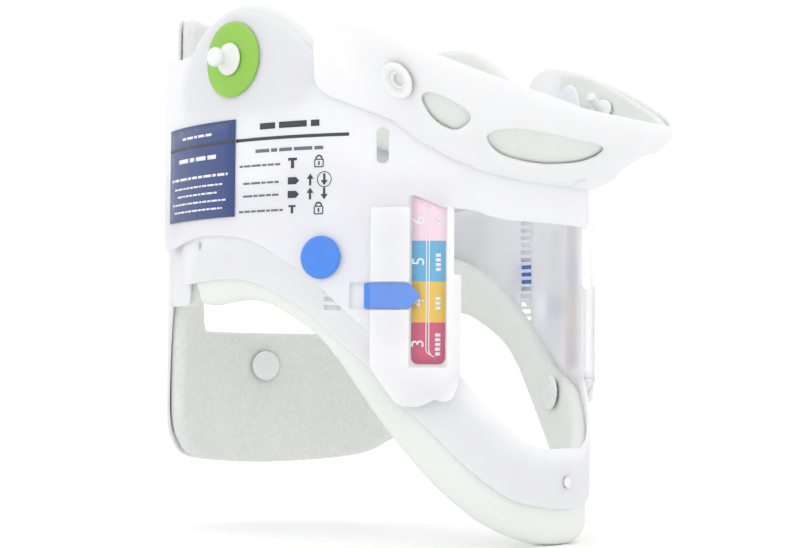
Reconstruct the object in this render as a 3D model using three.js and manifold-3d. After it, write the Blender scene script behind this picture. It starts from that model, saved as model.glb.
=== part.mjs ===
// Adjustable cervical collar, closed round the neck.  Millimetres, +Z up, chin towards -Y,
// wearer's right towards -X.  Every wall follows one plan curve, so its shape is drawn flat as
// (s, z): s is the arc length round the curve from the front centre (positive on the wearer's
// right) and z is the height.  d is the distance outwards from the curve.
import * as THREE from 'three';
import { mergeVertices } from 'three/addons/utils/BufferGeometryUtils.js';
import Module from 'manifold-3d';

const wasm = await Module();
wasm.setup();

// ---------------------------------------------------------------- driving sizes
const FRONT_RADIUS = 56;
const SIDE_RADIUS = 117;
const FRONT_TURN = THREE.MathUtils.degToRad(51.5);
const SIDE_TURN = THREE.MathUtils.degToRad(126.7);
const STRIP = 6;
const GAP = 0.3;
const HEAD_GAP = 1.2;

// Height ladder: slots PITCH apart.  Three pins of the lock rest in three slots in each position.
const PITCH = 3;
const POSITIONS = 16;
const LOCK_PINS = 3;
const LADDER_Z = 85.7;
const BAND_STEP = 14.7;
const SCALE_FOOT = 65.4;

// Sheet layers, as inner and outer d.
const LOWER_SKIN = { inner: -3.2, outer: -2 };
const SCALE_SKIN = { inner: -1.7, outer: -1.45 };
const UPPER_SKIN = { inner: -1, outer: 0.2 };
const LABEL_SKIN = { inner: 0.5, outer: 0.75 };
const DISC_SKIN = { inner: 0.5, outer: 1.7 };
const LATCH_SKIN = { inner: 0.5, outer: 1.7 };
const COVER_SKIN = { inner: 2, outer: 3 };
const FIXED_SKIN = { inner: -4.8, outer: -3.6 };
const FIXED_FOAM = { inner: -11.4, outer: FIXED_SKIN.inner - GAP };
const RIM_FOAM = { inner: -10.1, outer: -3.5 };
const LOBE_FOAM = { inner: -7.6, outer: -1.3 };
const CHIN_SKIN = { inner: 0, outer: 1.8 };
const CHIN_FOAM = { inner: -4.4, outer: -0.4 };
const BACK_FOAM_THICKNESS = 6.6;

const LATCH_Z = 89.7;
const LATCH_HEIGHT = 9.2;
const LATCH_TRAVEL = 5.6;
const LOCK = { s: 99.5, z: 103.7, radius: 7.8 };
const DISC = { s: 141.5, z: 179, radius: 14.2 };
const CHIN_RIVET = { s: 67.5, z: 166 };
const HINGE_S = 200;
const BACK_LEAD = 31.6;
const BACK_DEPTH = { near: -4.2, far: 1.8 };
const SHEET = 1.2;
// How far the neck axis lies ahead of the middle of the plan.
const SETBACK = 16;

// ---------------------------------------------------------------- the plan curve
const sideStart = FRONT_RADIUS * FRONT_TURN;
const sideEnd = sideStart + SIDE_RADIUS * (SIDE_TURN - FRONT_TURN);
const frontX = FRONT_RADIUS * Math.sin(FRONT_TURN);
const frontY = FRONT_RADIUS * (1 - Math.cos(FRONT_TURN));
const rearX = frontX + SIDE_RADIUS * (Math.sin(SIDE_TURN) - Math.sin(FRONT_TURN));
const rearY = frontY + SIDE_RADIUS * (Math.cos(FRONT_TURN) - Math.cos(SIDE_TURN));
const REAR_RADIUS = rearX / Math.sin(SIDE_TURN);
const HALF_GIRTH = sideEnd + REAR_RADIUS * (Math.PI - SIDE_TURN);
const HALF_LENGTH = (rearY + REAR_RADIUS * (1 + Math.cos(SIDE_TURN))) / 2;
const BACK_CENTRE = HALF_GIRTH + BACK_LEAD;

// Turn of the outward normal from straight ahead, for an arc length between 0 and HALF_GIRTH.
function turnAt(length) {
  if (length < sideStart) return length / FRONT_RADIUS;
  if (length < sideEnd) return FRONT_TURN + (length - sideStart) / SIDE_RADIUS;
  return SIDE_TURN + (length - sideEnd) / REAR_RADIUS;
}

// Point at arc length s and height z, d outwards.  Past HALF_GIRTH the curve runs on round the
// back to the wearer's left.
function onRing(s, z, d) {
  const wrapped = s > HALF_GIRTH ? s - 2 * HALF_GIRTH : s;
  const side = wrapped < 0 ? 1 : -1;
  const turn = turnAt(Math.abs(wrapped));
  let radius = FRONT_RADIUS;
  let centreX = 0;
  let centreY = FRONT_RADIUS;
  if (turn > SIDE_TURN) {
    radius = REAR_RADIUS;
    centreY = rearY + REAR_RADIUS * Math.cos(SIDE_TURN);
  } else if (turn > FRONT_TURN) {
    radius = SIDE_RADIUS;
    centreX = frontX - SIDE_RADIUS * Math.sin(FRONT_TURN);
    centreY = frontY + SIDE_RADIUS * Math.cos(FRONT_TURN);
  }
  const across = centreX + (radius + d) * Math.sin(turn);
  const along = centreY - (radius + d) * Math.cos(turn) - HALF_LENGTH + SETBACK;
  return new THREE.Vector3(side * across, along, z);
}

// ---------------------------------------------------------------- flat outlines
const mirrored = (loop) => loop.map(([s, z]) => [-s, z]);
const symmetric = (half) => [...half, ...mirrored(half).reverse()];

function spline(points, pieces) {
  const curve = new THREE.SplineCurve(points.map(([s, z]) => new THREE.Vector2(s, z)));
  return curve.getPoints(pieces).map((p) => [p.x, p.y]);
}

function arc(s, z, radius, from, to, pieces) {
  return Array.from({ length: pieces + 1 }, (_, i) => {
    const a = THREE.MathUtils.degToRad(from + ((to - from) * i) / pieces);
    return [s + radius * Math.cos(a), z + radius * Math.sin(a)];
  });
}

const circle = (s, z, radius, pieces = 16) => arc(s, z, radius, 0, 360, pieces).slice(0, -1);

function roundedBox(s0, s1, z0, z1, radius, pieces = 3) {
  return [
    ...arc(s1 - radius, z0 + radius, radius, -90, 0, pieces),
    ...arc(s1 - radius, z1 - radius, radius, 0, 90, pieces),
    ...arc(s0 + radius, z1 - radius, radius, 90, 180, pieces),
    ...arc(s0 + radius, z0 + radius, radius, 180, 270, pieces),
  ];
}

const plainBox = (s0, s1, z0, z1) => [[s0, z0], [s1, z0], [s1, z1], [s0, z1]];

// ---------------------------------------------------------------- bent sheet solid
const zKey = (z) => Math.round(z * 1000);
const snapped = (s) => Math.round(s * 20) / 20;

// Cuts the outlines (even-odd fill) into upright cells between neighbouring stations.
function cellsOf(loops, levels) {
  const clean = loops.map((loop) => loop.map(([s, z]) => [snapped(s), z]));
  const marks = [...new Set(clean.flat().map(([s]) => s))].sort((a, b) => a - b);
  const stations = [];
  marks.forEach((mark, i) => {
    stations.push(mark);
    const span = i + 1 < marks.length ? marks[i + 1] - mark : 0;
    const parts = Math.ceil(span / STRIP);
    for (let k = 1; k < parts; k += 1) stations.push(mark + (span * k) / parts);
  });
  const edges = clean.flatMap((loop) => loop.map((p, i) => [p, loop[(i + 1) % loop.length]]));
  const cells = [];
  for (let i = 0; i + 1 < stations.length; i += 1) {
    const [a, b] = [stations[i], stations[i + 1]];
    const lines = [];
    for (const [[s0, z0], [s1, z1]] of edges) {
      if (Math.min(s0, s1) > a + 1e-6 || Math.max(s0, s1) < b - 1e-6) continue;
      const slope = (z1 - z0) / (s1 - s0);
      lines.push([z0 + slope * (a - s0), z0 + slope * (b - s0)]);
    }
    lines.sort((p, q) => p[0] + p[1] - q[0] - q[1]);
    for (let k = 0; k + 1 < lines.length; k += 2) {
      let low = lines[k];
      const high = lines[k + 1];
      let openBelow = true;
      for (const level of levels) {
        if (Math.max(...low) > level - 0.5 || Math.min(...high) < level + 0.5) continue;
        cells.push({ i, low, high: [level, level], openBelow, openAbove: false });
        low = [level, level];
        openBelow = false;
      }
      cells.push({ i, low, high, openBelow, openAbove: true });
    }
  }
  return { stations, cells };
}

// Bends the cells round the plan with one face at d = skin.inner and one at d = skin.outer.
function bentSheet(loops, skin, { place = onRing, levels = [] } = {}) {
  const { stations, cells } = cellsOf(loops, levels);
  const heights = stations.map(() => new Map());
  const left = stations.map(() => []);
  const right = stations.map(() => []);
  for (const { i, low, high } of cells) {
    for (const z of [low[0], high[0]]) heights[i].set(zKey(z), z);
    for (const z of [low[1], high[1]]) heights[i + 1].set(zKey(z), z);
    right[i].push([zKey(low[0]), zKey(high[0])]);
    left[i + 1].push([zKey(low[1]), zKey(high[1])]);
  }
  const columns = heights.map((map) => [...map.keys()].sort((a, b) => a - b));
  const positions = [];
  const known = new Map();
  const vertex = (i, key, face) => {
    const name = `${i}/${key}/${face}`;
    if (!known.has(name)) {
      const p = place(stations[i], heights[i].get(key), skin[face]);
      known.set(name, positions.length / 3);
      positions.push(p.x, p.y, p.z);
    }
    return known.get(name);
  };
  const triangles = [];
  const quad = (a, b, c, d) => {
    for (const [p, q, r] of [[a, b, c], [a, c, d]]) {
      if (p !== q && q !== r && r !== p) triangles.push(p, q, r);
    }
  };
  for (const { i, low, high, openBelow, openAbove } of cells) {
    const within = (column, from, to) => column.filter((key) => key >= from && key <= to);
    const near = within(columns[i], zKey(low[0]), zKey(high[0]));
    const far = within(columns[i + 1], zKey(low[1]), zKey(high[1]));
    let m = 0;
    let n = 0;
    while (m + 1 < near.length || n + 1 < far.length) {
      const stepNear = n + 1 >= far.length
        || (m + 1 < near.length && (m + 1) * (far.length - 1) <= (n + 1) * (near.length - 1));
      const corners = stepNear
        ? [[i, near[m]], [i + 1, far[n]], [i, near[m + 1]]]
        : [[i, near[m]], [i + 1, far[n]], [i + 1, far[n + 1]]];
      triangles.push(...corners.map(([c, key]) => vertex(c, key, 'outer')));
      triangles.push(...corners.reverse().map(([c, key]) => vertex(c, key, 'inner')));
      if (stepNear) m += 1;
      else n += 1;
    }
    const corner = (side, z, face) => vertex(i + side, zKey(z[side]), face);
    if (openBelow) {
      quad(corner(0, low, 'inner'), corner(1, low, 'inner'),
        corner(1, low, 'outer'), corner(0, low, 'outer'));
    }
    if (openAbove) {
      quad(corner(0, high, 'inner'), corner(0, high, 'outer'),
        corner(1, high, 'outer'), corner(1, high, 'inner'));
    }
  }
  const covers = (spans, from, to) => spans.some(([a, b]) => a <= from && b >= to);
  columns.forEach((column, i) => {
    for (let k = 0; k + 1 < column.length; k += 1) {
      const [from, to] = [column[k], column[k + 1]];
      const onLeft = covers(left[i], from, to);
      if (onLeft === covers(right[i], from, to)) continue;
      const wall = [
        vertex(i, from, 'inner'), vertex(i, to, 'inner'),
        vertex(i, to, 'outer'), vertex(i, from, 'outer'),
      ];
      quad(...(onLeft ? wall : wall.reverse()));
    }
  });
  return facingOut(positions, triangles);
}

function facingOut(positions, triangles) {
  let volume = 0;
  const [a, b, c] = [new THREE.Vector3(), new THREE.Vector3(), new THREE.Vector3()];
  for (let i = 0; i < triangles.length; i += 3) {
    a.fromArray(positions, 3 * triangles[i]);
    b.fromArray(positions, 3 * triangles[i + 1]);
    c.fromArray(positions, 3 * triangles[i + 2]);
    volume += a.dot(b.cross(c));
  }
  const geometry = new THREE.BufferGeometry();
  geometry.setAttribute('position', new THREE.Float32BufferAttribute(positions, 3));
  geometry.setIndex(volume > 0 ? triangles : [...triangles].reverse());
  return geometry;
}

// ---------------------------------------------------------------- booleans and placing
function solidOf(geometry) {
  const bare = geometry.clone();
  bare.deleteAttribute('normal');
  bare.deleteAttribute('uv');
  const welded = mergeVertices(bare, 1e-4);
  return new wasm.Manifold(new wasm.Mesh({
    numProp: 3,
    vertProperties: new Float32Array(welded.attributes.position.array),
    triVerts: new Uint32Array(welded.index.array),
  }));
}

function joined(...geometries) {
  const mesh = geometries.map(solidOf).reduce((a, b) => a.add(b)).getMesh();
  const geometry = new THREE.BufferGeometry();
  geometry.setAttribute('position', new THREE.Float32BufferAttribute(mesh.vertProperties, 3));
  geometry.setIndex([...mesh.triVerts]);
  return geometry;
}

// A turned piece whose axis is +Z, from a profile of [radius, height] points.
function turned(profile, pieces = 20) {
  const points = profile.map(([r, h]) => new THREE.Vector2(r, h));
  return new THREE.LatheGeometry(points, pieces).rotateX(Math.PI / 2);
}

const plastic = (color, roughness = 0.45) => (
  new THREE.MeshStandardMaterial({ color, roughness, metalness: 0 })
);
const WHITE = plastic(0xf1f2f4);
const BAND_WHITE = plastic(0xe6e6e2, 0.5);
const CLEAR = plastic(0xeef0f3, 0.25);
const FOAM = plastic(0xd4d6d2, 0.95);
const FOAM_WHITE = plastic(0xececea, 0.95);
const GREEN = plastic(0x8ccd46);
const BLUE = plastic(0x3f82e0);
const LABEL_BLUE = plastic(0x3b4b7e, 0.4);
const SCALE_PRINT = plastic(0xe2be3c, 0.4);
const TAPE = plastic(0xe9eaea, 0.9);

const group = new THREE.Group();

function add(name, geometry, material, parent = group) {
  const mesh = new THREE.Mesh(geometry, material);
  mesh.name = name;
  parent.add(mesh);
  return mesh;
}

// Frame standing on a surface: local z outwards, local y up the surface.
function stand(s, z, place = onRing) {
  const here = place(s, z, 0);
  const rise = place(s, z + 0.5, 0).sub(place(s, z - 0.5, 0));
  const along = place(s + 0.5, z, 0).sub(place(s - 0.5, z, 0));
  const out = new THREE.Vector3().crossVectors(along, rise).normalize();
  if (out.dot(place(s, z, 1).sub(here)) < 0) out.negate();
  const across = new THREE.Vector3().crossVectors(rise, out).normalize();
  const up = new THREE.Vector3().crossVectors(out, across);
  const frame = new THREE.Group();
  frame.applyMatrix4(new THREE.Matrix4().makeBasis(across, up, out).setPosition(here));
  group.add(frame);
  return frame;
}

const SIDES = [['right', 1], ['left', -1]];
const forSide = (loop, side) => (side > 0 ? loop : mirrored(loop));

// ---------------------------------------------------------------- lower body
const LOWER_BOTTOM = [
  [174, 96], [147, 97], [131, 95], [119, 90.4], [106.5, 84], [96, 75.3], [82.8, 64.6],
  [69.5, 50.5], [62.3, 44.5], [46.2, 29.4], [36.3, 22], [25.7, 16.4], [10, 13.6], [0, 13.2],
];
const FOAM_BOTTOM = [
  [168, 88.3], [157, 87.6], [141.5, 89], [133, 88.8], [123, 86.1], [106.3, 77.2], [96, 67.8],
  [86, 55], [74.5, 40.5], [58.9, 23.6], [46.1, 13.1], [36.2, 7.5], [25.7, 3.4], [14, 0.7], [5, 0],
];
const FOAM_TOP = [
  [0, 33], [17, 34], [37, 47], [50, 58], [69.5, 66], [81.4, 76.4], [103, 95.5], [121, 106.5],
  [138, 112], [158, 111.5],
];
const RIVET_HEAD = 2;
const FRONT_RIVET = { s: 0, z: 23 };
const SIDE_RIVET = { s: 62, z: 56 };

function ladderSlots(side) {
  return Array.from({ length: POSITIONS + LOCK_PINS - 1 }, (_, i) => {
    const z = LADDER_Z + PITCH * i;
    return forSide(plainBox(93, 99.5, z - 0.75, z + 0.75), side);
  });
}

function lowerBodyShell() {
  const throat = spline([[0, 35.5], [10, 35.2], [18, 36.6], [30, 43.5], [48.2, 61.7]], 10);
  const housingBack = [[48.2, 97.3], [50.6, 97.3], [50.6, 131]];
  const wing = [[54, 134], [84, 134], [88, 140], [110, 140], [118, 134], [176, 126], [181, 121]];
  const end = arc(177, 100, 4, 0, -90, 3);
  const bottom = spline(LOWER_BOTTOM, 26);
  const outline = symmetric([...throat, ...housingBack, ...wing, ...end, ...bottom]);
  const holes = SIDES.flatMap(([, side]) => [
    ...ladderSlots(side),
    forSide(circle(165.4, 110.5, 1.6, 8), side),
  ]);
  return bentSheet([outline, circle(FRONT_RIVET.s, FRONT_RIVET.z, 2, 10), ...holes], LOWER_SKIN);
}

function lowerRimFoam() {
  const top = spline(FOAM_TOP, 16);
  const bottom = spline(FOAM_BOTTOM, 24);
  const end = arc(162, 100.5, 11, 85, -50, 6);
  const outline = symmetric([...top, ...end, ...bottom, [0, 0]]);
  const holes = [
    circle(FRONT_RIVET.s, FRONT_RIVET.z, 2.4, 10),
    circle(SIDE_RIVET.s, SIDE_RIVET.z, 2.8, 10),
    circle(-SIDE_RIVET.s, SIDE_RIVET.z, 2.8, 10),
  ];
  return bentSheet([outline, ...holes], RIM_FOAM);
}

// Foam rivet: a small head outside, a shank through shell and foam, a broad head inside.
function foamRivet(shankRadius, inside, outside, headRadius, outerHeadRadius) {
  return turned([
    [0, inside - RIVET_HEAD], [headRadius - 0.6, inside - RIVET_HEAD], [headRadius, inside - 1.4],
    [headRadius, inside - HEAD_GAP], [shankRadius, inside - HEAD_GAP], [shankRadius, outside + GAP],
    [outerHeadRadius, outside + GAP], [outerHeadRadius - 0.3, outside + 0.8], [0, outside + 0.8],
  ]);
}

add('lower_body_shell', lowerBodyShell(), BAND_WHITE);
add('lower_rim_foam', lowerRimFoam(), FOAM_WHITE);
add('front_foam_rivet', foamRivet(1.6, RIM_FOAM.inner, LOWER_SKIN.outer, 5.5, 2.2), WHITE,
  stand(FRONT_RIVET.s, FRONT_RIVET.z));
for (const [name, side] of SIDES) {
  const shank = turned([
    [0, RIM_FOAM.inner - RIVET_HEAD], [6.2, RIM_FOAM.inner - RIVET_HEAD],
    [6.8, RIM_FOAM.inner - 1.4],
    [6.8, RIM_FOAM.inner - HEAD_GAP], [2, RIM_FOAM.inner - HEAD_GAP],
    [2, LOWER_SKIN.inner - GAP], [0, LOWER_SKIN.inner - GAP],
  ]);
  add(`side_foam_rivet_${name}`, shank, WHITE, stand(side * SIDE_RIVET.s, SIDE_RIVET.z));
}

// ---------------------------------------------------------------- size scale and its cover
const SCALE_TOP = SCALE_FOOT + 4 * BAND_STEP + 2;

function coverPlate(side) {
  const plate = [
    [80.3, 64], [80.3, 121.5], [50.8, 121.5], [50.8, 97.3], [48.2, 97.3], [48.2, 61.5],
    ...arc(54.2, 57.5, 5.4, 230, 300, 4),
    [62.5, 50], [70.3, 50.5],
  ];
  return forSide(plate, side);
}

// The wall under the plate stands on the lower shell along the foot and the throat side only:
// the upper body slides through the other two sides.
function coverWall(side) {
  return forSide([
    [48.4, 61.8], [50, 61.8], [56.5, 55.5], [62.8, 51.6], [69, 51.9], [69, 50.8], [62.4, 50.2],
    [56, 53.8], [48.4, 59.6],
  ], side);
}

function scaleCover(side) {
  const wallSkin = { inner: LOWER_SKIN.outer + GAP, outer: COVER_SKIN.inner + 0.5 };
  const throatWall = forSide(plainBox(48.4, 49.8, 60.6, 96), side);
  return joined(
    bentSheet([coverPlate(side)], COVER_SKIN),
    bentSheet([coverWall(side)], wallSkin),
    bentSheet([throatWall], wallSkin),
  );
}

for (const [name, side] of SIDES) {
  const strip = forSide(roundedBox(53.6, 66, SCALE_FOOT, SCALE_TOP, 2.5), side);
  add(`size_scale_${name}`, bentSheet([strip], SCALE_SKIN), SCALE_PRINT);
  add(`scale_cover_${name}`, scaleCover(side), CLEAR);
}

// ---------------------------------------------------------------- upper body
const latchHalf = LATCH_HEIGHT / 2;
// The cross band steps back between the two lower side walls, by STEP_BACK over s = 50 to 42.
const STEP_BACK = 3.5;
const frontStep = (s) => STEP_BACK * (1 - THREE.MathUtils.smoothstep(Math.abs(s), 42, 50));
const onUpper = (s, z, d) => onRing(s, z, d - frontStep(s));

function upperBodyShell() {
  const crossTop = [[0, 137], [20, 138.5], [38, 143], [50, 152], [60, 170]];
  const ear = arc(70, 168.5, 10, 150, 40, 5);
  const shoulder = [[88, 171], [98, 173]];
  const lobe = arc(139, 155, 42, 142, 44, 12);
  const rear = [[179, 183.5], ...arc(194, 181.6, 4, 90, 0, 3), ...arc(192, 116, 7, 0, -90, 4)];
  const arch = spline([
    [188, 109.6], [166, 113], [153, 113.5], [133, 111], [118, 104.3], [104.4, 96], [92.5, 86],
    [80, 75.5],
  ], 14);
  const tongue = [[76, 72], [71, 71], [67, 75], [67, 126.6], [54.6, 121.4]];
  const crossBottom = spline([[48, 121], [42.9, 120.7], [35.4, 118.7], [25.6, 117.6], [0, 117.5]], 8);
  const half = [
    ...crossTop, ...ear, ...shoulder, ...lobe, ...rear, ...arch.slice(1), ...tongue,
    ...crossBottom,
  ];
  const outline = symmetric(half);
  const holes = SIDES.flatMap(([, side]) => [
    forSide(roundedBox(74.6, 79, 137.5, 150, 2), side),
    forSide(plainBox(70.5, 83 + LATCH_TRAVEL, LATCH_Z - latchHalf, LATCH_Z + latchHalf), side),
    forSide(circle(LOCK.s, LOCK.z, 5.2, 14), side),
    forSide(circle(DISC.s, DISC.z, 2.3, 10), side),
  ]);
  return bentSheet([outline, ...holes], UPPER_SKIN, { place: onUpper });
}

function lobeFoam(side) {
  const crown = arc(139, 158, 42, 18, 158, 14);
  const foot = spline([[100, 172], [104, 161], [122, 157], [160, 157], [176, 161], [179, 170]], 10);
  return bentSheet([forSide([...crown, ...foot.slice(1, -1)], side)], LOBE_FOAM);
}

function hookDisc(side) {
  const rim = circle(DISC.s, DISC.z, DISC.radius, 24);
  return bentSheet([forSide(rim, side), forSide(circle(DISC.s, DISC.z, 2.6, 10), side)], DISC_SKIN);
}

function hookPeg() {
  const seat = DISC_SKIN.outer + GAP;
  return turned([
    [0, UPPER_SKIN.inner + 0.2], [1.9, UPPER_SKIN.inner + 0.2], [1.9, seat], [6.1, seat],
    [6.1, seat + 0.9], [4, seat + 1.7], [2.6, seat + 3], [2.3, seat + 4.4], [3, seat + 5.4],
    [3.6, seat + 6.2], [3.6, seat + 7.8], [2.6, seat + 8.8], [0, seat + 9.1],
  ]);
}

function safetyLock() {
  return turned([
    [0, LOWER_SKIN.outer + GAP], [4.8, LOWER_SKIN.outer + GAP], [4.8, LABEL_SKIN.inner],
    [LOCK.radius - 0.2, LABEL_SKIN.inner], [LOCK.radius, LABEL_SKIN.inner + 0.5],
    [LOCK.radius, LABEL_SKIN.inner + 1.3], [6.6, LABEL_SKIN.inner + 2.1], [0, LABEL_SKIN.inner + 2.5],
  ], 24);
}

// Arrow cap lying on the upper shell, with a foot in the shell's slot.
function latch(side) {
  const cap = [
    [82.9, LATCH_Z - latchHalf], [82.9, LATCH_Z + latchHalf], [66.6, LATCH_Z + latchHalf],
    [62.3, LATCH_Z], [66.6, LATCH_Z - latchHalf],
  ];
  const foot = plainBox(71, 82.6, LATCH_Z - latchHalf + GAP, LATCH_Z + latchHalf - GAP);
  const footSkin = { inner: SCALE_SKIN.outer + GAP, outer: LATCH_SKIN.inner + 0.4 };
  return joined(
    bentSheet([forSide(cap, side)], LATCH_SKIN),
    bentSheet([forSide(foot, side)], footSkin),
  );
}

add('upper_body_shell', upperBodyShell(), WHITE);
for (const [name, side] of SIDES) {
  const label = forSide(plainBox(139.2, 188, 120, 156.3), side);
  add(`lobe_foam_${name}`, lobeFoam(side), FOAM_WHITE);
  add(`sizing_label_${name}`, bentSheet([label], LABEL_SKIN), LABEL_BLUE);
  add(`hook_disc_${name}`, hookDisc(side), GREEN);
  add(`hook_peg_${name}`, hookPeg(), WHITE, stand(side * DISC.s, DISC.z));
  add(`safety_lock_${name}`, safetyLock(), BLUE, stand(side * LOCK.s, LOCK.z));
  add(`latch_${name}`, latch(side), BLUE);
}

// ---------------------------------------------------------------- chin support
const CHIN_END = 102;
const CHIN_SPAN = 40;
const CHIN_FOOT = 0.9;
const CHIN_BOWL = 1.7;
const CHIN_LOW = [[0, 132.5], [22, 133], [36, 135], [50, 139], [63, 146], [71.5, 153], [102, 164]];
const CHIN_RIM = [
  [0, 152.5], [12, 153.5], [20, 155], [31, 160], [41, 164.5], [50, 169.5], [62, 175.5],
  [70.5, 180.5], [76, 184.5], [82, 187], [92, 189], [102, 186.5],
];
const CHIN_FLARE = [
  [0, 33], [12, 31.5], [20, 29.5], [31, 27], [41, 26], [50, 24.5], [62, 23], [70.5, 18.5],
  [76, 13.5], [82, 8.5], [92, 3.5], [102, 3],
];

function follow(table, s) {
  const at = Math.abs(s);
  const i = Math.min(table.findIndex(([stop]) => at <= stop + 1e-9), table.length - 1);
  const [[s0, v0], [s1, v1]] = [table[Math.max(i - 1, 0)], table[Math.max(i, 1)]];
  return v0 + ((v1 - v0) * (at - s0)) / (s1 - s0);
}

// The scoop leans out from the upper shell like the side of a bowl, and stands upright at its rim.
// rise runs from 0 at its foot to CHIN_SPAN at its rim.
function onChin(s, rise, d) {
  const middle = (at, share) => {
    const flare = follow(CHIN_FLARE, at);
    const z = follow(CHIN_LOW, at) + (follow(CHIN_RIM, at) - follow(CHIN_LOW, at)) * share;
    const foot = CHIN_FOOT - frontStep(at);
    return onRing(at, z, foot + (flare - foot) * (1 - (1 - share) ** CHIN_BOWL));
  };
  const share = rise / CHIN_SPAN;
  const here = middle(s, share);
  const along = middle(s + 0.5, share).sub(middle(s - 0.5, share));
  const up = middle(s, share).sub(middle(s, share - 0.01));
  const out = new THREE.Vector3().crossVectors(along, up).normalize();
  const outward = onRing(s, 0, 1).sub(onRing(s, 0, 0));
  if (out.dot(outward) < 0) out.negate();
  return here.addScaledVector(out, d);
}

const riseAt = (s, z) => {
  const [low, rim] = [follow(CHIN_LOW, s), follow(CHIN_RIM, s)];
  return (CHIN_SPAN * (z - low)) / (rim - low);
};
const CHIN_PIN = { s: CHIN_RIVET.s, rise: riseAt(CHIN_RIVET.s, CHIN_RIVET.z) };
const CHIN_LEVELS = [5, 10, 16, 22, 28, 34];
const FRONT_SNAP = 3;
const CHIN_STEM = -15.5;
const CHIN_HEAD = CHIN_FOAM.inner - 1;
const CHIN_FOAM_END = 84;

const chinPinHole = circle(0, 0, 3.6, 10).map(
  ([s, r]) => [CHIN_PIN.s + s, CHIN_PIN.rise + 1.6 * r],
);

function chinSupportShell() {
  const half = [
    [CHIN_END - 8, 0], ...arc(CHIN_END - 8, 8, 8, -90, 0, 3), ...arc(CHIN_END - 8, 32, 8, 0, 90, 3),
  ];
  const shoulderVent = [
    [47, 18], [48.5, 22], [54, 23.4], [59, 22.5], [61.2, 18.5], [59.5, 14], [56, 11.2], [50.5, 12],
  ];
  const chinVent = [
    [8.5, 18.5], [11, 12.5], [20, 9], [31, 7.6], [38.5, 9.5], [41.5, 14], [38.5, 18.5],
    [33, 21.5], [22, 23.6], [12, 23],
  ];
  const holes = SIDES.flatMap(([, side]) => [
    forSide(shoulderVent, side),
    forSide(chinVent, side),
    forSide(chinPinHole, side),
  ]);
  const snapHole = circle(0, FRONT_SNAP, 2.2, 8);
  return bentSheet([symmetric(half), ...holes, snapHole], CHIN_SKIN, {
    place: onChin,
    levels: CHIN_LEVELS,
  });
}

// The liner backs all four vents and lies under the heads of the two chin rivets.
function chinFoam() {
  const foot = spline([
    [0, 6], [20, 5.5], [40, 6.5], [54, 8.5], [66, 11.5], [76, 16], [CHIN_FOAM_END, 24],
  ], 10);
  const outline = symmetric([...foot, [CHIN_FOAM_END, 36], [CHIN_FOAM_END - 3, 38]]);
  const holes = SIDES.map(([, side]) => forSide(chinPinHole, side));
  return bentSheet([outline, ...holes], CHIN_FOAM, { place: onChin, levels: CHIN_LEVELS });
}

// Rivet on the slope of the scoop: outer eyelet, inner head, and a stem that reaches the shell.
function chinRivet() {
  return turned([
    [0, CHIN_STEM], [1.8, CHIN_STEM], [1.8, CHIN_HEAD - 1.3], [4.8, CHIN_HEAD - 1.3],
    [4.8, CHIN_HEAD], [2.4, CHIN_HEAD], [2.4, 3], [6.6, 3], [6.9, 3.5], [6.4, 4.4], [3.4, 4.6],
    [2.2, 3.7], [0, 3.6],
  ]);
}

add('chin_support_shell', chinSupportShell(), WHITE);
add('chin_foam', chinFoam(), FOAM_WHITE);
for (const [name, side] of SIDES) {
  add(`chin_rivet_${name}`, chinRivet(), WHITE, stand(side * CHIN_PIN.s, CHIN_PIN.rise, onChin));
}

// ---------------------------------------------------------------- back panel
// The panel is drawn by its own half width t, measured from its own centre, which sits a little
// to the wearer's left of the back centre because the left end overlaps the side panel.
const backLoop = (loop) => loop.map(([t, z]) => [BACK_CENTRE + t, z]);
const smoothStep = (from, to, x) => THREE.MathUtils.smoothstep(x, from, to);

// Depth of the panel sheet: inside the right side panel, outside the left one.
function onBack(s, z, d) {
  const leftEnd = 2 * HALF_GIRTH - HINGE_S;
  const share = smoothStep(HINGE_S + 6, leftEnd - 12, s);
  return onRing(s, z, d + BACK_DEPTH.near + (BACK_DEPTH.far - BACK_DEPTH.near) * share);
}

const BACK_SKIN = { inner: -SHEET / 2, outer: SHEET / 2 };
const BACK_FOAM = { inner: -SHEET / 2 - GAP - BACK_FOAM_THICKNESS, outer: -SHEET / 2 - GAP };
const STRAP_SKIN = { inner: SHEET / 2 + GAP, outer: SHEET / 2 + GAP + 1 };
const HOOK_SKIN = { inner: -0.5, outer: SHEET / 2 };
const BACK_OPENING = [
  ...arc(-32.5, 84, 4, 180, 270, 2), ...arc(32.5, 84, 4, -90, 0, 2),
  ...arc(34, 112, 6, 0, 90, 3), ...arc(-34, 112, 6, 90, 180, 3),
];
const BACK_RIVETS = [['low', 0, 66], ['right', -62, 130], ['left', 0, 160]];
const RIGHT_END = HINGE_S + GAP - BACK_CENTRE;

function backHoles(radius) {
  return BACK_RIVETS.map(([, t, z]) => backLoop(circle(t, z, radius, 10)));
}

const BACK_BOTTOM = [
  [-82, 74], [-76, 55], [-68, 43], [-56, 34.5], [-40, 28], [0, 25], [40, 28], [56, 34.5], [68, 43],
  [76, 55],
];

function backPanelShell() {
  const bottom = spline([...BACK_BOTTOM, [82, 74]], 22);
  const leftEnd = [[85, 90], ...arc(83, 141, 5, 0, 90, 3), [66, 147], [60, 158], [56, 176]];
  const top = [...arc(51, 204, 5, 0, 90, 3), ...arc(-51, 204, 5, 90, 180, 3)];
  const rightEnd = [[-56, 186], [-62, 168], [-76, 146], [RIGHT_END, 140], [RIGHT_END, 90]];
  return bentSheet(
    [backLoop([...bottom, ...leftEnd, ...top, ...rightEnd]), backLoop(BACK_OPENING), ...backHoles(2)],
    BACK_SKIN,
    { place: onBack },
  );
}

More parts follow.
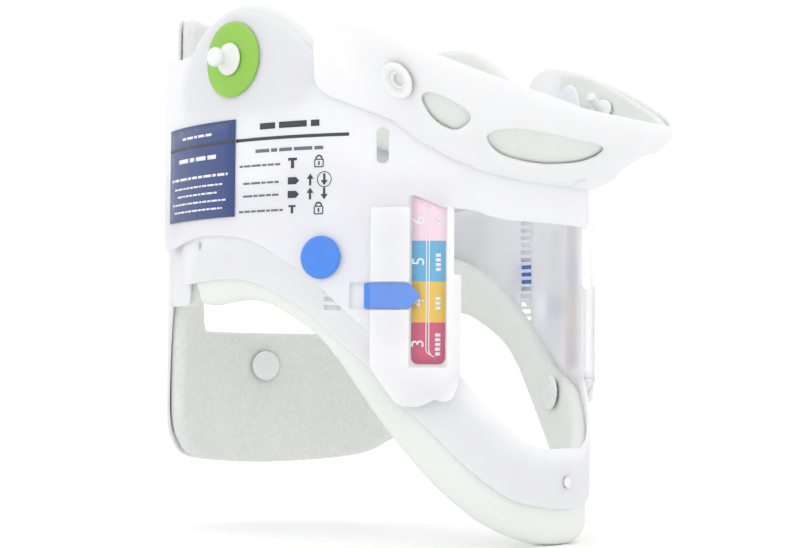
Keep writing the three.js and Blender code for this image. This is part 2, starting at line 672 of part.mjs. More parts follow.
// Above the opening's foot the liner runs round the opening on the right and stops short of the
// left side panel.
function backFoam() {
  const left = 2 * HALF_GIRTH - HINGE_S - 4 - BACK_CENTRE;
  const bottom = spline([...BACK_BOTTOM, [79, 66]], 22);
  const notch = [
    [79, 80], ...arc(-32.5, 84, 4, 270, 180, 2), ...arc(-34, 112, 6, 180, 90, 3), [left, 118],
  ];
  const top = [[left, 204], [left - 5, 209], ...arc(-51, 204, 5, 90, 180, 3)];
  const rightEnd = [[-56, 186], [-62, 168], [-76, 146], [RIGHT_END + 2, 140], [RIGHT_END + 2, 90]];
  return bentSheet(
    [backLoop([...bottom, ...notch, ...top, ...rightEnd]), ...backHoles(3)],
    BACK_FOAM,
    { place: onBack },
  );
}

function fixedEnd(skin, trim) {
  const outline = roundedBox(177 + trim, HINGE_S - GAP, 88, 140 - trim, 4);
  return bentSheet([outline], skin);
}

function closureStrap() {
  const end = BACK_CENTRE + 106;
  const outline = [
    ...arc(end - 6, 112, 6, -90, 0, 3), ...arc(end - 6, 136, 6, 0, 90, 3),
    [BACK_CENTRE + 66, 142], [BACK_CENTRE + 66, 106],
  ];
  return bentSheet([outline], STRAP_SKIN, { place: onBack });
}

add('back_fixed_end', fixedEnd(FIXED_SKIN, 0), WHITE);
add('back_fixed_foam', fixedEnd(FIXED_FOAM, 1), FOAM);
add('back_panel_shell', backPanelShell(), WHITE);
add('back_foam', backFoam(), FOAM);
for (const [name, t, z] of BACK_RIVETS) {
  add(`back_foam_rivet_${name}`, foamRivet(1.6, BACK_FOAM.inner, BACK_SKIN.outer, 6.2, 3), WHITE,
    stand(BACK_CENTRE + t, z, onBack));
}
add('closure_strap', closureStrap(), TAPE);
const HOOK_S = [BACK_CENTRE + 90, BACK_CENTRE + 104];
const hookPatch = bentSheet([plainBox(...HOOK_S, 110, 138)], HOOK_SKIN, { place: onBack });
add('hook_patch', hookPatch, TAPE);
const LOOP_S = HOOK_S.map((s) => s - 2 * HALF_GIRTH);
add('loop_patch', bentSheet([plainBox(LOOP_S[0] - 1, LOOP_S[1] + 2, 108, 140)], LABEL_SKIN), TAPE);

export default group;
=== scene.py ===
import math

import bpy
import numpy as np
from mathutils import Matrix, Vector
from mathutils.geometry import delaunay_2d_cdt


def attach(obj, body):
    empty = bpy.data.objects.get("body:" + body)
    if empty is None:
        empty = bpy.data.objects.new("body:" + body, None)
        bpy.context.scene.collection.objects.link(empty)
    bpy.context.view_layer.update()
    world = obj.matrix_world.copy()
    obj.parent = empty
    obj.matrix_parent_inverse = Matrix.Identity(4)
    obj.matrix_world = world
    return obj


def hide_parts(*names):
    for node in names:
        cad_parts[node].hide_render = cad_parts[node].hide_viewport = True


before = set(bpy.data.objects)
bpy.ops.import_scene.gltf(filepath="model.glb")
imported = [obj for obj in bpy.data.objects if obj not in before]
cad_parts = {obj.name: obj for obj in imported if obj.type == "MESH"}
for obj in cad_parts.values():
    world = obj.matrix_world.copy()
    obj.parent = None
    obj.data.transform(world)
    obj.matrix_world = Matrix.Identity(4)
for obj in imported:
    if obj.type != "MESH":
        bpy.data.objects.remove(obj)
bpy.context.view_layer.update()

MM = 0.001
BODY_LOWER, BODY_UPPER, BODY_BACK = "lower_body", "upper_body", "back_panel"
SIDES = (("right", 1), ("left", -1))

# Sheet layers as (inner, outer) distances d.
LOWER_SKIN, UPPER_SKIN, FIXED_SKIN = (-3.2, -2), (-1, 0.2), (-4.8, -3.6)
SCALE_SKIN, LABEL_SKIN, COVER_SKIN = (-1.7, -1.45), (0.5, 0.75), (2, 3)
DISC_SKIN, CHIN_SKIN, BACK_SKIN = (0.5, 1.7), (0, 1.8), (-0.6, 0.6)
COVER_WALL = (-1.7, 2.2)
RIM_FOAM, LOBE_FOAM, CHIN_FOAM = (-10.1, -3.5), (-7.6, -1.3), (-4.4, -0.4)
BACK_FOAM, FIXED_FOAM = (-7.5, -0.9), (-11.4, -5.1)
PAD_FILL = 0.8
SCALE_FOOT, BAND_STEP = 65.4, 14.7
INK = 0.05
ON_SCALE, ON_PANEL, ON_LABEL = -1.4, 0.26, 0.8

# ------------ the plan curve
FRONT_RADIUS, SIDE_RADIUS = 56, 117
FRONT_TURN, SIDE_TURN = math.radians(51.5), math.radians(126.7)
SETBACK = 16
side_start = FRONT_RADIUS * FRONT_TURN
side_end = side_start + SIDE_RADIUS * (SIDE_TURN - FRONT_TURN)
front_x = FRONT_RADIUS * math.sin(FRONT_TURN)
front_y = FRONT_RADIUS * (1 - math.cos(FRONT_TURN))
rear_x = front_x + SIDE_RADIUS * (math.sin(SIDE_TURN) - math.sin(FRONT_TURN))
rear_y = front_y + SIDE_RADIUS * (math.cos(FRONT_TURN) - math.cos(SIDE_TURN))
REAR_RADIUS = rear_x / math.sin(SIDE_TURN)
HALF_GIRTH = side_end + REAR_RADIUS * (math.pi - SIDE_TURN)
HALF_LENGTH = (rear_y + REAR_RADIUS * (1 + math.cos(SIDE_TURN))) / 2
HINGE_S = 200
BACK_CENTRE = HALF_GIRTH + 31.6
LEFT_END = 2 * HALF_GIRTH - HINGE_S
BACK_NEAR, BACK_FAR = -4.2, 1.8


def turn_at(length):
    if length < side_start:
        return length / FRONT_RADIUS
    if length < side_end:
        return FRONT_TURN + (length - side_start) / SIDE_RADIUS
    return SIDE_TURN + (length - side_end) / REAR_RADIUS


def on_ring(s, z, d):
    wrapped = s - 2 * HALF_GIRTH if s > HALF_GIRTH else s
    turn = turn_at(abs(wrapped))
    radius, centre_x, centre_y = FRONT_RADIUS, 0, FRONT_RADIUS
    if turn > SIDE_TURN:
        radius, centre_y = REAR_RADIUS, rear_y + REAR_RADIUS * math.cos(SIDE_TURN)
    elif turn > FRONT_TURN:
        radius = SIDE_RADIUS
        centre_x = front_x - SIDE_RADIUS * math.sin(FRONT_TURN)
        centre_y = front_y + SIDE_RADIUS * math.cos(FRONT_TURN)
    across = centre_x + (radius + d) * math.sin(turn)
    along = centre_y - (radius + d) * math.cos(turn) - HALF_LENGTH + SETBACK
    return Vector((across if wrapped < 0 else -across, along, z)) * MM


def smooth_step(a, b, x):
    t = min(max((x - a) / (b - a), 0), 1)
    return t * t * (3 - 2 * t)


def on_back(s, z, d):
    share = smooth_step(HINGE_S + 6, LEFT_END - 12, s)
    return on_ring(s, z, d + BACK_NEAR + (BACK_FAR - BACK_NEAR) * share)


# The cross band steps back between the two lower side walls, by STEP_BACK over s = 50 to 42.
STEP_BACK = 3.5


def front_step(s):
    return STEP_BACK * (1 - smooth_step(42, 50, abs(s)))


def on_upper(s, z, d):
    return on_ring(s, z, d - front_step(s))


# ------------ the chin scoop
CHIN_SPAN = 40
CHIN_LOW = [(0, 132.5), (22, 133), (36, 135), (50, 139), (63, 146), (71.5, 153), (102, 164)]
CHIN_RIM = [
    (0, 152.5), (12, 153.5), (20, 155), (31, 160), (41, 164.5), (50, 169.5), (62, 175.5),
    (70.5, 180.5), (76, 184.5), (82, 187), (92, 189), (102, 186.5),
]
CHIN_FLARE = [
    (0, 33), (12, 31.5), (20, 29.5), (31, 27), (41, 26), (50, 24.5), (62, 23), (70.5, 18.5),
    (76, 13.5), (82, 8.5), (92, 3.5), (102, 3),
]
CHIN_FOOT, CHIN_BOWL = 0.9, 1.7


def eased(table):
    """The table's values along |s|, smoothed so that no crease shows."""
    stops, values = zip(*table)
    fine = np.linspace(0, stops[-1], 205)
    line = np.interp(fine, stops, values)
    padded_line = np.concatenate([line[12:0:-1], line, 2 * line[-1] - line[-2:-14:-1]])
    window = np.hanning(15)
    soft = np.convolve(padded_line, window / window.sum(), mode="same")[12:-12]
    return lambda s: float(np.interp(abs(s), fine, soft))


chin_low, chin_rim, chin_flare = eased(CHIN_LOW), eased(CHIN_RIM), eased(CHIN_FLARE)


def chin_middle(s, share):
    flare = chin_flare(s)
    z = chin_low(s) + (chin_rim(s) - chin_low(s)) * share
    foot = CHIN_FOOT - front_step(s)
    return on_ring(s, z, foot + (flare - foot) * (1 - (1 - share) ** CHIN_BOWL))


def on_chin(s, rise, d):
    share = rise / CHIN_SPAN
    along = chin_middle(s + 0.5, share) - chin_middle(s - 0.5, share)
    up = chin_middle(s, share) - chin_middle(s, share - 0.01)
    out = along.cross(up).normalized()
    if out.dot(on_ring(s, 0, 1) - on_ring(s, 0, 0)) < 0:
        out.negate()
    return chin_middle(s, share) + out * d * MM


# ------------ flat outlines
def mirrored(loop):
    return [(-s, z) for s, z in loop]


def symmetric(half):
    return list(half) + mirrored(half)[::-1]


def for_side(loop, side):
    return list(loop) if side > 0 else mirrored(loop)


def catmull_rom(p, f):
    """Point at share f between the second and third of four points."""
    return tuple(
        0.5 * (2 * p[1][c] + (p[2][c] - p[0][c]) * f
               + (2 * p[0][c] - 5 * p[1][c] + 4 * p[2][c] - p[3][c]) * f * f
               + (3 * p[1][c] - p[0][c] - 3 * p[2][c] + p[3][c]) * f ** 3)
        for c in (0, 1)
    )


def spline(points, pieces):
    out = []
    count = len(points) - 1
    for k in range(pieces + 1):
        t = k / pieces * count
        i = min(int(t), count - 1)
        out.append(catmull_rom([points[min(max(j, 0), count)] for j in (i - 1, i, i + 1, i + 2)],
                               t - i))
    return out


def rounded_loop(points, pieces=6):
    """Closed curve through the points."""
    count = len(points)
    return [catmull_rom([points[(i + j) % count] for j in (-1, 0, 1, 2)], k / pieces)
            for i in range(count) for k in range(pieces)]


def arc(s, z, radius, start, end, pieces=12):
    turns = [math.radians(start + (end - start) * i / pieces) for i in range(pieces + 1)]
    return [(s + radius * math.cos(a), z + radius * math.sin(a)) for a in turns]


def circle(s, z, radius, pieces=40):
    return arc(s, z, radius, 0, 360, pieces)[:-1]


def rounded_box(s0, s1, z0, z1, radius):
    corners = ((s1 - radius, z0 + radius), (s1 - radius, z1 - radius),
               (s0 + radius, z1 - radius), (s0 + radius, z0 + radius))
    return [p for k, (s, z) in enumerate(corners)
            for p in arc(s, z, radius, 90 * k - 90, 90 * k, 6)]


def softened(loop, radius, sharp=25):
    """Rounds the corners of a loop that turn by more than sharp degrees."""
    out = []
    count = len(loop)
    for i, here in enumerate(loop):
        p, q, r = Vector(loop[i - 1]), Vector(here), Vector(loop[(i + 1) % count])
        a, b = p - q, r - q
        if a.length < 1e-4 or b.length < 1e-4:
            continue
        bend = math.degrees(math.pi - a.angle(b))
        if bend < sharp:
            out.append(tuple(q))
            continue
        cut = min(radius, a.length * 0.45, b.length * 0.45)
        start, end = q + a.normalized() * cut, q + b.normalized() * cut
        for k in range(5):
            t = k / 4
            out.append(tuple(start * (1 - t) ** 2 + q * 2 * t * (1 - t) + end * t * t))
    return out


# ------------ sheet meshes
def even_odd(points, loops):
    inside = np.zeros(len(points), bool)
    for loop in loops:
        a = np.array(loop)
        b = np.roll(a, -1, axis=0)
        for (x0, y0), (x1, y1) in zip(a, b):
            if y0 == y1:
                continue
            crosses = (points[:, 1] < max(y0, y1)) & (points[:, 1] >= min(y0, y1))
            at = x0 + (points[:, 1] - y0) * (x1 - x0) / (y1 - y0)
            inside ^= crosses & (points[:, 0] < at)
    return inside


def edge_distance(points, loops):
    best = np.full(len(points), 1e9)
    for loop in loops:
        a = np.array(loop)
        b = np.roll(a, -1, axis=0)
        for p, q in zip(a, b):
            line = q - p
            size = max(float(line @ line), 1e-12)
            t = np.clip(((points - p) @ line) / size, 0, 1)
            best = np.minimum(best, np.hypot(*(points - p - t[:, None] * line).T))
    return best


def walked(loop, step):
    """The loop with points no further apart than step."""
    out = []
    for i, p in enumerate(loop):
        q = loop[(i + 1) % len(loop)]
        span = math.dist(p, q)
        if span < 1e-4:
            continue
        parts = max(1, math.ceil(span / step))
        out += [(p[0] + (q[0] - p[0]) * k / parts, p[1] + (q[1] - p[1]) * k / parts)
                for k in range(parts)]
    return out


def beside(loop, offset):
    """The loop's points moved by offset to either side."""
    ring = np.array(loop)
    tangent = np.roll(ring, -1, axis=0) - np.roll(ring, 1, axis=0)
    tangent /= np.maximum(np.hypot(*tangent.T), 1e-9)[:, None]
    normal = np.stack([tangent[:, 1], -tangent[:, 0]], 1)
    return [ring + side * offset * normal for side in (1, -1)]


# Rows of points along an edge, as shares of its rounding.
EDGE_ROWS = (0.14, 0.42, 1.0)


def flat_mesh(loops, rounding, step, edge_step):
    """Triangles of the outlines: points, their distances to the edge, triangles."""
    loops = [walked(loop, edge_step) for loop in loops]
    edges, verts = [], []
    for loop in loops:
        base = len(verts)
        verts += loop
        edges += [(base + i, base + (i + 1) % len(loop)) for i in range(len(loop))]
    everything = np.concatenate([np.array(loop) for loop in loops])
    low, high = everything.min(0), everything.max(0)
    rows = max(2, round((high[1] - low[1]) / (step * 0.87)))
    free = []
    for j in range(rows):
        y = low[1] + (j + 0.5) * (high[1] - low[1]) / rows
        xs = np.arange(low[0] + step * (0.25 + 0.5 * (j % 2)), high[0], step)
        free += [(x, y) for x in xs]
    free = np.array(free).reshape(-1, 2)
    away = edge_distance(free, loops)
    keep = even_odd(free, loops) & (away > max(rounding, edge_step * 0.8) + step * 0.35)
    added = [free[keep]]
    if rounding > 0:
        for share in EDGE_ROWS:
            row = np.concatenate([p for loop in loops for p in beside(loop, rounding * share)])
            near = edge_distance(row, loops)
            row = row[even_odd(row, loops) & (near > rounding * share * 0.93)]
            added.append(thinned(row, edge_step * (0.5 if share == EDGE_ROWS[0] else 0.62)))
    verts += [tuple(p) for group in added for p in group]
    made = delaunay_2d_cdt([Vector(v) for v in verts], edges, [], 0, 1e-5)
    points = np.array([tuple(v) for v in made[0]])
    faces = np.array(made[2])
    inside = even_odd(points[faces].mean(1), loops)
    return points, edge_distance(points, loops), faces[inside]


def thinned(points, gap):
    """Drops points that fall within gap of an earlier one."""
    cells, kept = {}, []
    for p in points:
        key = (math.floor(p[0] / gap), math.floor(p[1] / gap))
        near = [q for i in (-1, 0, 1) for j in (-1, 0, 1)
                for q in cells.get((key[0] + i, key[1] + j), ())]
        if all(math.dist(p, q) >= gap for q in near):
            cells.setdefault(key, []).append(p)
            kept.append(p)
    return np.array(kept) if kept else np.zeros((0, 2))


def new_object(name, verts, faces, material, flat=None):
    mesh = bpy.data.meshes.new(name)
    mesh.from_pydata(verts, [], faces)
    if flat is not None:
        layer = mesh.uv_layers.new(name="sz")
        corners = np.zeros(len(mesh.loops), np.int32)
        mesh.loops.foreach_get("vertex_index", corners)
        layer.data.foreach_set("uv", (np.array(flat)[corners] * MM).astype(np.float32).ravel())
    mesh.polygons.foreach_set("use_smooth", [True] * len(mesh.polygons))
    mesh.materials.append(material)
    mesh.update()
    made = bpy.data.objects.new(name, mesh)
    bpy.context.scene.collection.objects.link(made)
    return made


def sheet(name, loops, inner, outer, material, place=on_ring, rounding=0.6, step=3.5,
          edge_step=1.6, relief=None):
    """A bent sheet with rounded edges.  relief(s, z, face) adds to d: face is 1 outside, or -1."""
    points, away, faces = flat_mesh(loops, rounding, step, edge_step)
    middle, half = (inner + outer) / 2, (outer - inner) / 2
    ratio = np.clip(away / max(rounding, 1e-6), 0, 1)
    bulge = np.sqrt(np.maximum(1 - (1 - ratio) ** 2, 0)) if rounding > 0 else np.ones(len(away))
    on_edge = away < 1e-4
    verts, flat, index = [], [], {1: {}, -1: {}}
    for face in (1, -1):
        for i, (s, z) in enumerate(points):
            if rounding > 0 and on_edge[i] and face < 0:
                index[-1][i] = index[1][i]
                continue
            extra = relief(s, z, face) * bulge[i] if relief else 0
            index[face][i] = len(verts)
            verts.append(place(s, z, middle + face * half * bulge[i] + extra))
            flat.append((s, z))
    quads = []
    for a, b, c in faces:
        quads.append((index[1][a], index[1][b], index[1][c]))
        quads.append((index[-1][c], index[-1][b], index[-1][a]))
    if rounding <= 0:
        links = {}
        for a, b, c in faces:
            for p, q in ((a, b), (b, c), (c, a)):
                links[(p, q)] = links.get((p, q), 0) + 1
        for p, q in links:
            if (q, p) not in links:
                quads.append((index[1][q], index[1][p], index[-1][p], index[-1][q]))
    made = new_object(name, verts, quads, material, flat)
    outward(made)
    return made


def outward(made):
    """Turns the faces so that the closed mesh's volume is positive."""
    mesh = made.data
    mesh.calc_loop_triangles()
    co = np.zeros(len(mesh.vertices) * 3)
    mesh.vertices.foreach_get("co", co)
    co = co.reshape(-1, 3)
    tri = np.zeros(len(mesh.loop_triangles) * 3, np.int32)
    mesh.loop_triangles.foreach_get("vertices", tri)
    a, b, c = co[tri.reshape(-1, 3)].transpose(1, 0, 2)
    if (a * np.cross(b, c)).sum() < 0:
        mesh.flip_normals()


def standing(s, z, place=on_ring):
    """Matrix with z outwards and y up the surface, at a point of the surface."""
    here = place(s, z, 0)
    rise = place(s, z + 0.5, 0) - place(s, z - 0.5, 0)
    along = place(s + 0.5, z, 0) - place(s - 0.5, z, 0)
    out = along.cross(rise).normalized()
    if out.dot(place(s, z, 1) - here) < 0:
        out.negate()
    across = rise.cross(out).normalized()
    up = out.cross(across)
    return Matrix((
        (across.x, up.x, out.x, here.x),
        (across.y, up.y, out.y, here.y),
        (across.z, up.z, out.z, here.z),
        (0, 0, 0, 1),
    ))


def rounded_profile(profile, radius):
    """Corners of a lathe profile rounded off."""
    out = [profile[0]]
    for p, q, r in zip(profile, profile[1:], profile[2:]):
        a, b, c = Vector(p), Vector(q), Vector(r)
        cut = min(radius, (a - b).length * 0.45, (c - b).length * 0.45)
        start, end = b + (a - b).normalized() * cut, b + (c - b).normalized() * cut
        out += [tuple(start * (1 - t) ** 2 + b * 2 * t * (1 - t) + end * t * t)
                for t in (0, 0.3, 0.5, 0.7, 1)]
    return out + [profile[-1]]


def turned(name, profile, matrix, material, radius=0.35, pieces=48):
    """Lathe about the matrix's z axis; the profile starts and ends on the axis."""
    line = rounded_profile(profile, radius)
    verts, faces, rings = [], [], []
    for r, h in line:
        count = 1 if r < 1e-6 else pieces
        rings.append(list(range(len(verts), len(verts) + count)))
        turns = [2 * math.pi * k / pieces for k in range(count)]
        verts += [matrix @ (Vector((r * math.cos(a), r * math.sin(a), h)) * MM) for a in turns]
    for low, high in zip(rings, rings[1:]):
        for k in range(pieces):
            n = (k + 1) % pieces
            corners = tuple(dict.fromkeys(
                ring[i % len(ring)] for ring, i in ((low, k), (high, k), (high, n), (low, n))
            ))
            if len(corners) > 2:
                faces.append(corners)
    made = new_object(name, verts, faces, material)
    outward(made)
    return made


# ------------ materials
class Look:
    """A node material: Principled with noise in its colour, roughness and bump."""

    def __init__(self, name):
        self.material = bpy.data.materials.new(name)
        self.material.use_nodes = True
        self.tree = self.material.node_tree
        self.nodes, self.links = self.tree.nodes, self.tree.links
        self.shader = self.nodes["Principled BSDF"]
        self.out = self.nodes["Material Output"]
        self.place = self.nodes.new("ShaderNodeTexCoord").outputs["Object"]

    def drawn_place(self):
        """The flat drawing's s and z, in metres."""
        layer = self.nodes.new("ShaderNodeUVMap")
        layer.uv_map = "sz"
        split = self.nodes.new("ShaderNodeSeparateXYZ")
        self.links.new(layer.outputs[0], split.inputs[0])
        return split.outputs[0], split.outputs[1]

    def noise(self, scale, detail=3, roughness=0.55):
        made = self.nodes.new("ShaderNodeTexNoise")
        made.inputs["Scale"].default_value = scale
        made.inputs["Detail"].default_value = detail
        made.inputs["Roughness"].default_value = roughness
        self.links.new(self.place, made.inputs["Vector"])
        return made.outputs["Fac"]

    def ramp(self, source, stops, constant=False):
        made = self.nodes.new("ShaderNodeValToRGB")
        ramp = made.color_ramp
        ramp.interpolation = "CONSTANT" if constant else "LINEAR"
        while len(ramp.elements) < len(stops):
            ramp.elements.new(1.0)
        for element, (at, colour) in zip(ramp.elements, stops):
            element.position = at
            element.color = (*colour, 1)
        self.links.new(source, made.inputs["Fac"])
        return made.outputs["Color"]

    def span(self, source, low, high, a=0.3, b=0.7):
        made = self.nodes.new("ShaderNodeMapRange")
        for socket, value in (("From Min", a), ("From Max", b), ("To Min", low), ("To Max", high)):
            made.inputs[socket].default_value = value
        self.links.new(source, made.inputs["Value"])
        return made.outputs["Result"]

    def math(self, kind, a, b):
        made = self.nodes.new("ShaderNodeMath")
        made.operation = kind
        for socket, value in zip(made.inputs, (a, b)):
            if isinstance(value, (int, float)):
                socket.default_value = value
            else:
                self.links.new(value, socket)
        return made.outputs[0]

    def bump(self, height, strength, distance, below=None):
        made = self.nodes.new("ShaderNodeBump")
        made.inputs["Strength"].default_value = strength
        made.inputs["Distance"].default_value = distance
        self.links.new(height, made.inputs["Height"])
        if below is not None:
            self.links.new(below, made.inputs["Normal"])
        self.links.new(made.outputs["Normal"], self.shader.inputs["Normal"])
        return made.outputs["Normal"]

    def colour(self, output):
        self.links.new(output, self.shader.inputs["Base Color"])

    def roughness(self, output):
        self.links.new(output, self.shader.inputs["Roughness"])

    def blended(self, parts):
        """Mixes the principled shader with other shaders, each a (node, share) pair."""
        last = self.shader.outputs[0]
        for node, share in parts:
            mix = self.nodes.new("ShaderNodeMixShader")
            if isinstance(share, (int, float)):
                mix.inputs[0].default_value = share
            else:
                self.links.new(share, mix.inputs[0])
            self.links.new(last, mix.inputs[1])
            self.links.new(node.outputs[0], mix.inputs[2])
            last = mix.outputs[0]
        self.links.new(last, self.out.inputs["Surface"])


def srgb(r, g, b):
    return tuple(((c / 255 + 0.055) / 1.055) ** 2.4 if c > 10 else c / 3294.6 for c in (r, g, b))


def shaded(colour, share):
    return tuple(c * share for c in colour)


def plastic(name, colour, rough=0.38, deep=0.93, see=0.0, clear=0.0, grain=0.05, milky=0.0):
    """Moulded polyethylene: faint flow marks, soft grain, light that passes through the wall."""
    look = Look(name)
    flow = look.noise(38, 4)
    look.colour(look.ramp(flow, [(0.3, shaded(colour, deep)), (0.72, colour)]))
    look.roughness(look.span(look.noise(160, 3), rough - 0.06, rough + 0.08))
    low = look.bump(look.noise(70, 2), 0.10, 0.0006)
    look.bump(look.noise(2300, 2), grain, 0.00012, low)
    look.shader.inputs["IOR"].default_value = 1.5
    if milky:
        look.shader.inputs["Subsurface Weight"].default_value = milky
        look.shader.inputs["Subsurface Radius"].default_value = (1.0, 0.95, 0.9)
        look.shader.inputs["Subsurface Scale"].default_value = 0.002
    parts = []
    if see:
        through = look.nodes.new("ShaderNodeBsdfTranslucent")
        through.inputs["Color"].default_value = (*colour, 1)
        parts.append((through, see))
    if clear:
        glassy = look.nodes.new("ShaderNodeBsdfTransparent")
        glassy.inputs["Color"].default_value = (*colour, 1)
        parts.append((glassy, clear))
    if parts:
        look.blended(parts)
    return look


def foam(name, colour, deep, pore=1500.0, strength=0.45):
    """Closed-cell foam: fine cells, slow shade changes, no gloss."""
    look = Look(name)
    cells = look.nodes.new("ShaderNodeTexVoronoi")
    cells.inputs["Scale"].default_value = pore
    look.links.new(look.place, cells.inputs["Vector"])
    speck = look.noise(pore * 0.6, 4, 0.7)
    slow = look.noise(28, 3)
    mottled = look.math("ADD", look.math("MULTIPLY", speck, 0.7), look.math("MULTIPLY", slow, 0.3))
    look.colour(look.ramp(mottled, [(0.34, shaded(colour, deep)), (0.62, colour)]))
    look.roughness(look.span(speck, 0.86, 0.98))
    low = look.bump(cells.outputs["Distance"], strength, 0.00025)
    look.bump(look.noise(330, 3), 0.22, 0.0006, low)
    look.shader.inputs["Sheen Weight"].default_value = 0.15
    look.shader.inputs["Sheen Roughness"].default_value = 0.6
    return look


def tape(name, colour):
    """Hook or loop tape: rows of small tufts."""
    look = Look(name)
    tufts = look.nodes.new("ShaderNodeTexVoronoi")
    tufts.inputs["Scale"].default_value = 900
    look.links.new(look.place, tufts.inputs["Vector"])
    look.colour(look.ramp(tufts.outputs["Distance"], [(0.1, colour), (0.7, shaded(colour, 0.72))]))
    look.roughness(look.span(look.noise(500, 2), 0.8, 0.97))
    look.bump(tufts.outputs["Distance"], 0.8, 0.0005)
    look.shader.inputs["Sheen Weight"].default_value = 0.4
    return look


WHITE = srgb(250, 250, 253)
white_panel = plastic("panel_plastic", WHITE, 0.36, 0.98, see=0.34, clear=0.08).material
# Painted shade: the chin scoop's copy of the white plastic is a little darker than the panel white,
# to stand in for the shade on the scoop.
chin_white_shaded = plastic("chin_plastic_painted_shade", srgb(246, 246, 247), 0.34, 0.965, see=0.1, milky=0.3).material
band_white = plastic("band_plastic", srgb(253, 253, 255), 0.42, 0.985, see=0.4, clear=0.1).material
back_white = plastic("back_plastic", srgb(242, 242, 245), 0.4, 0.97, see=0.15).material
rivet_white = plastic("rivet_plastic", srgb(236, 236, 236), 0.32, 0.95, milky=0.4).material
green = plastic("green_plastic", srgb(146, 200, 78), 0.42, 0.93, milky=0.2, grain=0.1).material
blue = plastic("blue_plastic", srgb(74, 137, 232), 0.34, 0.94, milky=0.15, grain=0.1).material
foam_rim = foam("rim_foam_cells", srgb(231, 233, 229), 0.95, 1700, 0.3).material
foam_back = foam("back_foam_cells", srgb(229, 231, 228), 0.88, 1100, 0.6).material
# Painted shade: the chin liner's copy of the rim foam is darker, to stand in for the shade on the
# foam seen through the chin vents.
foam_chin_shaded = foam("chin_foam_cells_painted_shade", srgb(227, 229, 226), 0.93, 1700, 0.3).material
tape_white = tape("tape_tufts", srgb(232, 233, 233)).material


def clear_cover():
    """Clear moulding, milky outside its windows over the scale and the latch."""
    look = plastic("cover_plastic", srgb(254, 254, 255), 0.2, 0.99, grain=0.02)
    s, z = look.drawn_place()
    s = look.math("ABSOLUTE", s, 0)

    def within(source, low, high):
        above = look.math("GREATER_THAN", source, low * MM)
        return look.math("MULTIPLY", above, look.math("LESS_THAN", source, high * MM))

    scale_window = look.math("MULTIPLY", within(s, 53.1, 66.4), within(z, 64.2, 130))
    latch_window = look.math("MULTIPLY", within(s, 61.8, 84), within(z, 84.6, 94.8))
    inside = look.math("MAXIMUM", scale_window, latch_window)
    share = look.span(inside, 0.55, 0.96, 0, 1)
    glassy = look.nodes.new("ShaderNodeBsdfTransparent")
    look.blended([(glassy, share)])
    return look.material


def scale_print():
    """Four bands printed on white, by height."""
    look = Look("scale_bands")
    foot = SCALE_FOOT * MM
    share = look.span(look.drawn_place()[1], 0, 1, foot, foot + 5 * BAND_STEP * MM)
    bands = look.ramp(share, [
        (0.0, srgb(203, 58, 104)), (0.2, srgb(234, 190, 48)), (0.4, srgb(78, 170, 213)),
        (0.6, srgb(245, 216, 226)),
    ], constant=True)
    tone = look.nodes.new("ShaderNodeMix")
    tone.data_type = "RGBA"
    tone.blend_type = "MULTIPLY"
    look.links.new(look.span(look.noise(420, 3), 0.0, 0.12), tone.inputs["Factor"])
    look.links.new(bands, tone.inputs["A"])
    tone.inputs["B"].default_value = (0.8, 0.8, 0.82, 1)
    look.colour(tone.outputs["Result"])
    look.roughness(look.span(look.noise(200, 2), 0.3, 0.42))
    look.bump(look.noise(1500, 2), 0.06, 0.0001)
    return look.material


cover_clear = clear_cover()
scale_bands = scale_print()
ink_black = plastic("ink_dark", srgb(62, 64, 74), 0.42, 0.85, grain=0.1).material
ink_grey = plastic("ink_grey", srgb(112, 114, 124), 0.42, 0.88, grain=0.1).material
ink_white = plastic("ink_white", srgb(244, 244, 247), 0.42, 0.96, grain=0.1).material
label_blue = plastic("label_film", srgb(52, 73, 128), 0.3, 0.93, grain=0.08).material


# ------------ placing pieces
def put(piece, body, slot, *nodes, pad=None):
    if nodes:
        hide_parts(*nodes)
    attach(piece, body)
    return piece


def dimpled(spots, depth, wave):
    """Relief of a foam sheet: dips under the rivet heads and the slow waviness of cut foam."""
    reach = 9

    def relief(s, z, face):
        rise = wave * (math.sin(s * 0.13 + 0.7 * face) * math.sin(z * 0.11 + 1.3)
                       + 0.5 * math.sin(s * 0.31 + z * 0.23))
        if face < 0:
            rise -= sum(depth * math.exp(-(math.dist((s, z), spot) / reach) ** 2) for spot in spots)
        return face * rise
    return relief


# ------------ lower body
LOWER_BOTTOM = [
    (174, 96), (147, 97), (131, 95), (119, 90.4), (106.5, 84), (96, 75.3), (82.8, 64.6),
    (69.5, 50.5), (62.3, 44.5), (46.2, 29.4), (36.3, 22), (25.7, 16.4), (10, 13.6), (0, 13.2),
]
FOAM_BOTTOM = [
    (168, 88.3), (157, 87.6), (141.5, 89), (133, 88.8), (123, 86.1), (106.3, 77.2), (96, 67.8),
    (86, 55), (74.5, 40.5), (58.9, 23.6), (46.1, 13.1), (36.2, 7.5), (25.7, 3.4), (14, 0.7), (0, 0),
]
FOAM_TOP = [
    (0, 33), (17, 34), (37, 47), (50, 58), (69.5, 66), (81.4, 76.4), (103, 95.5), (121, 106.5),
    (138, 112), (158, 111.5),
]
LADDER_Z, PITCH, POSITIONS, LOCK_PINS = 85.7, 3, 16, 3
FRONT_RIVET = (0, 23)
SIDE_RIVET = (62, 56)


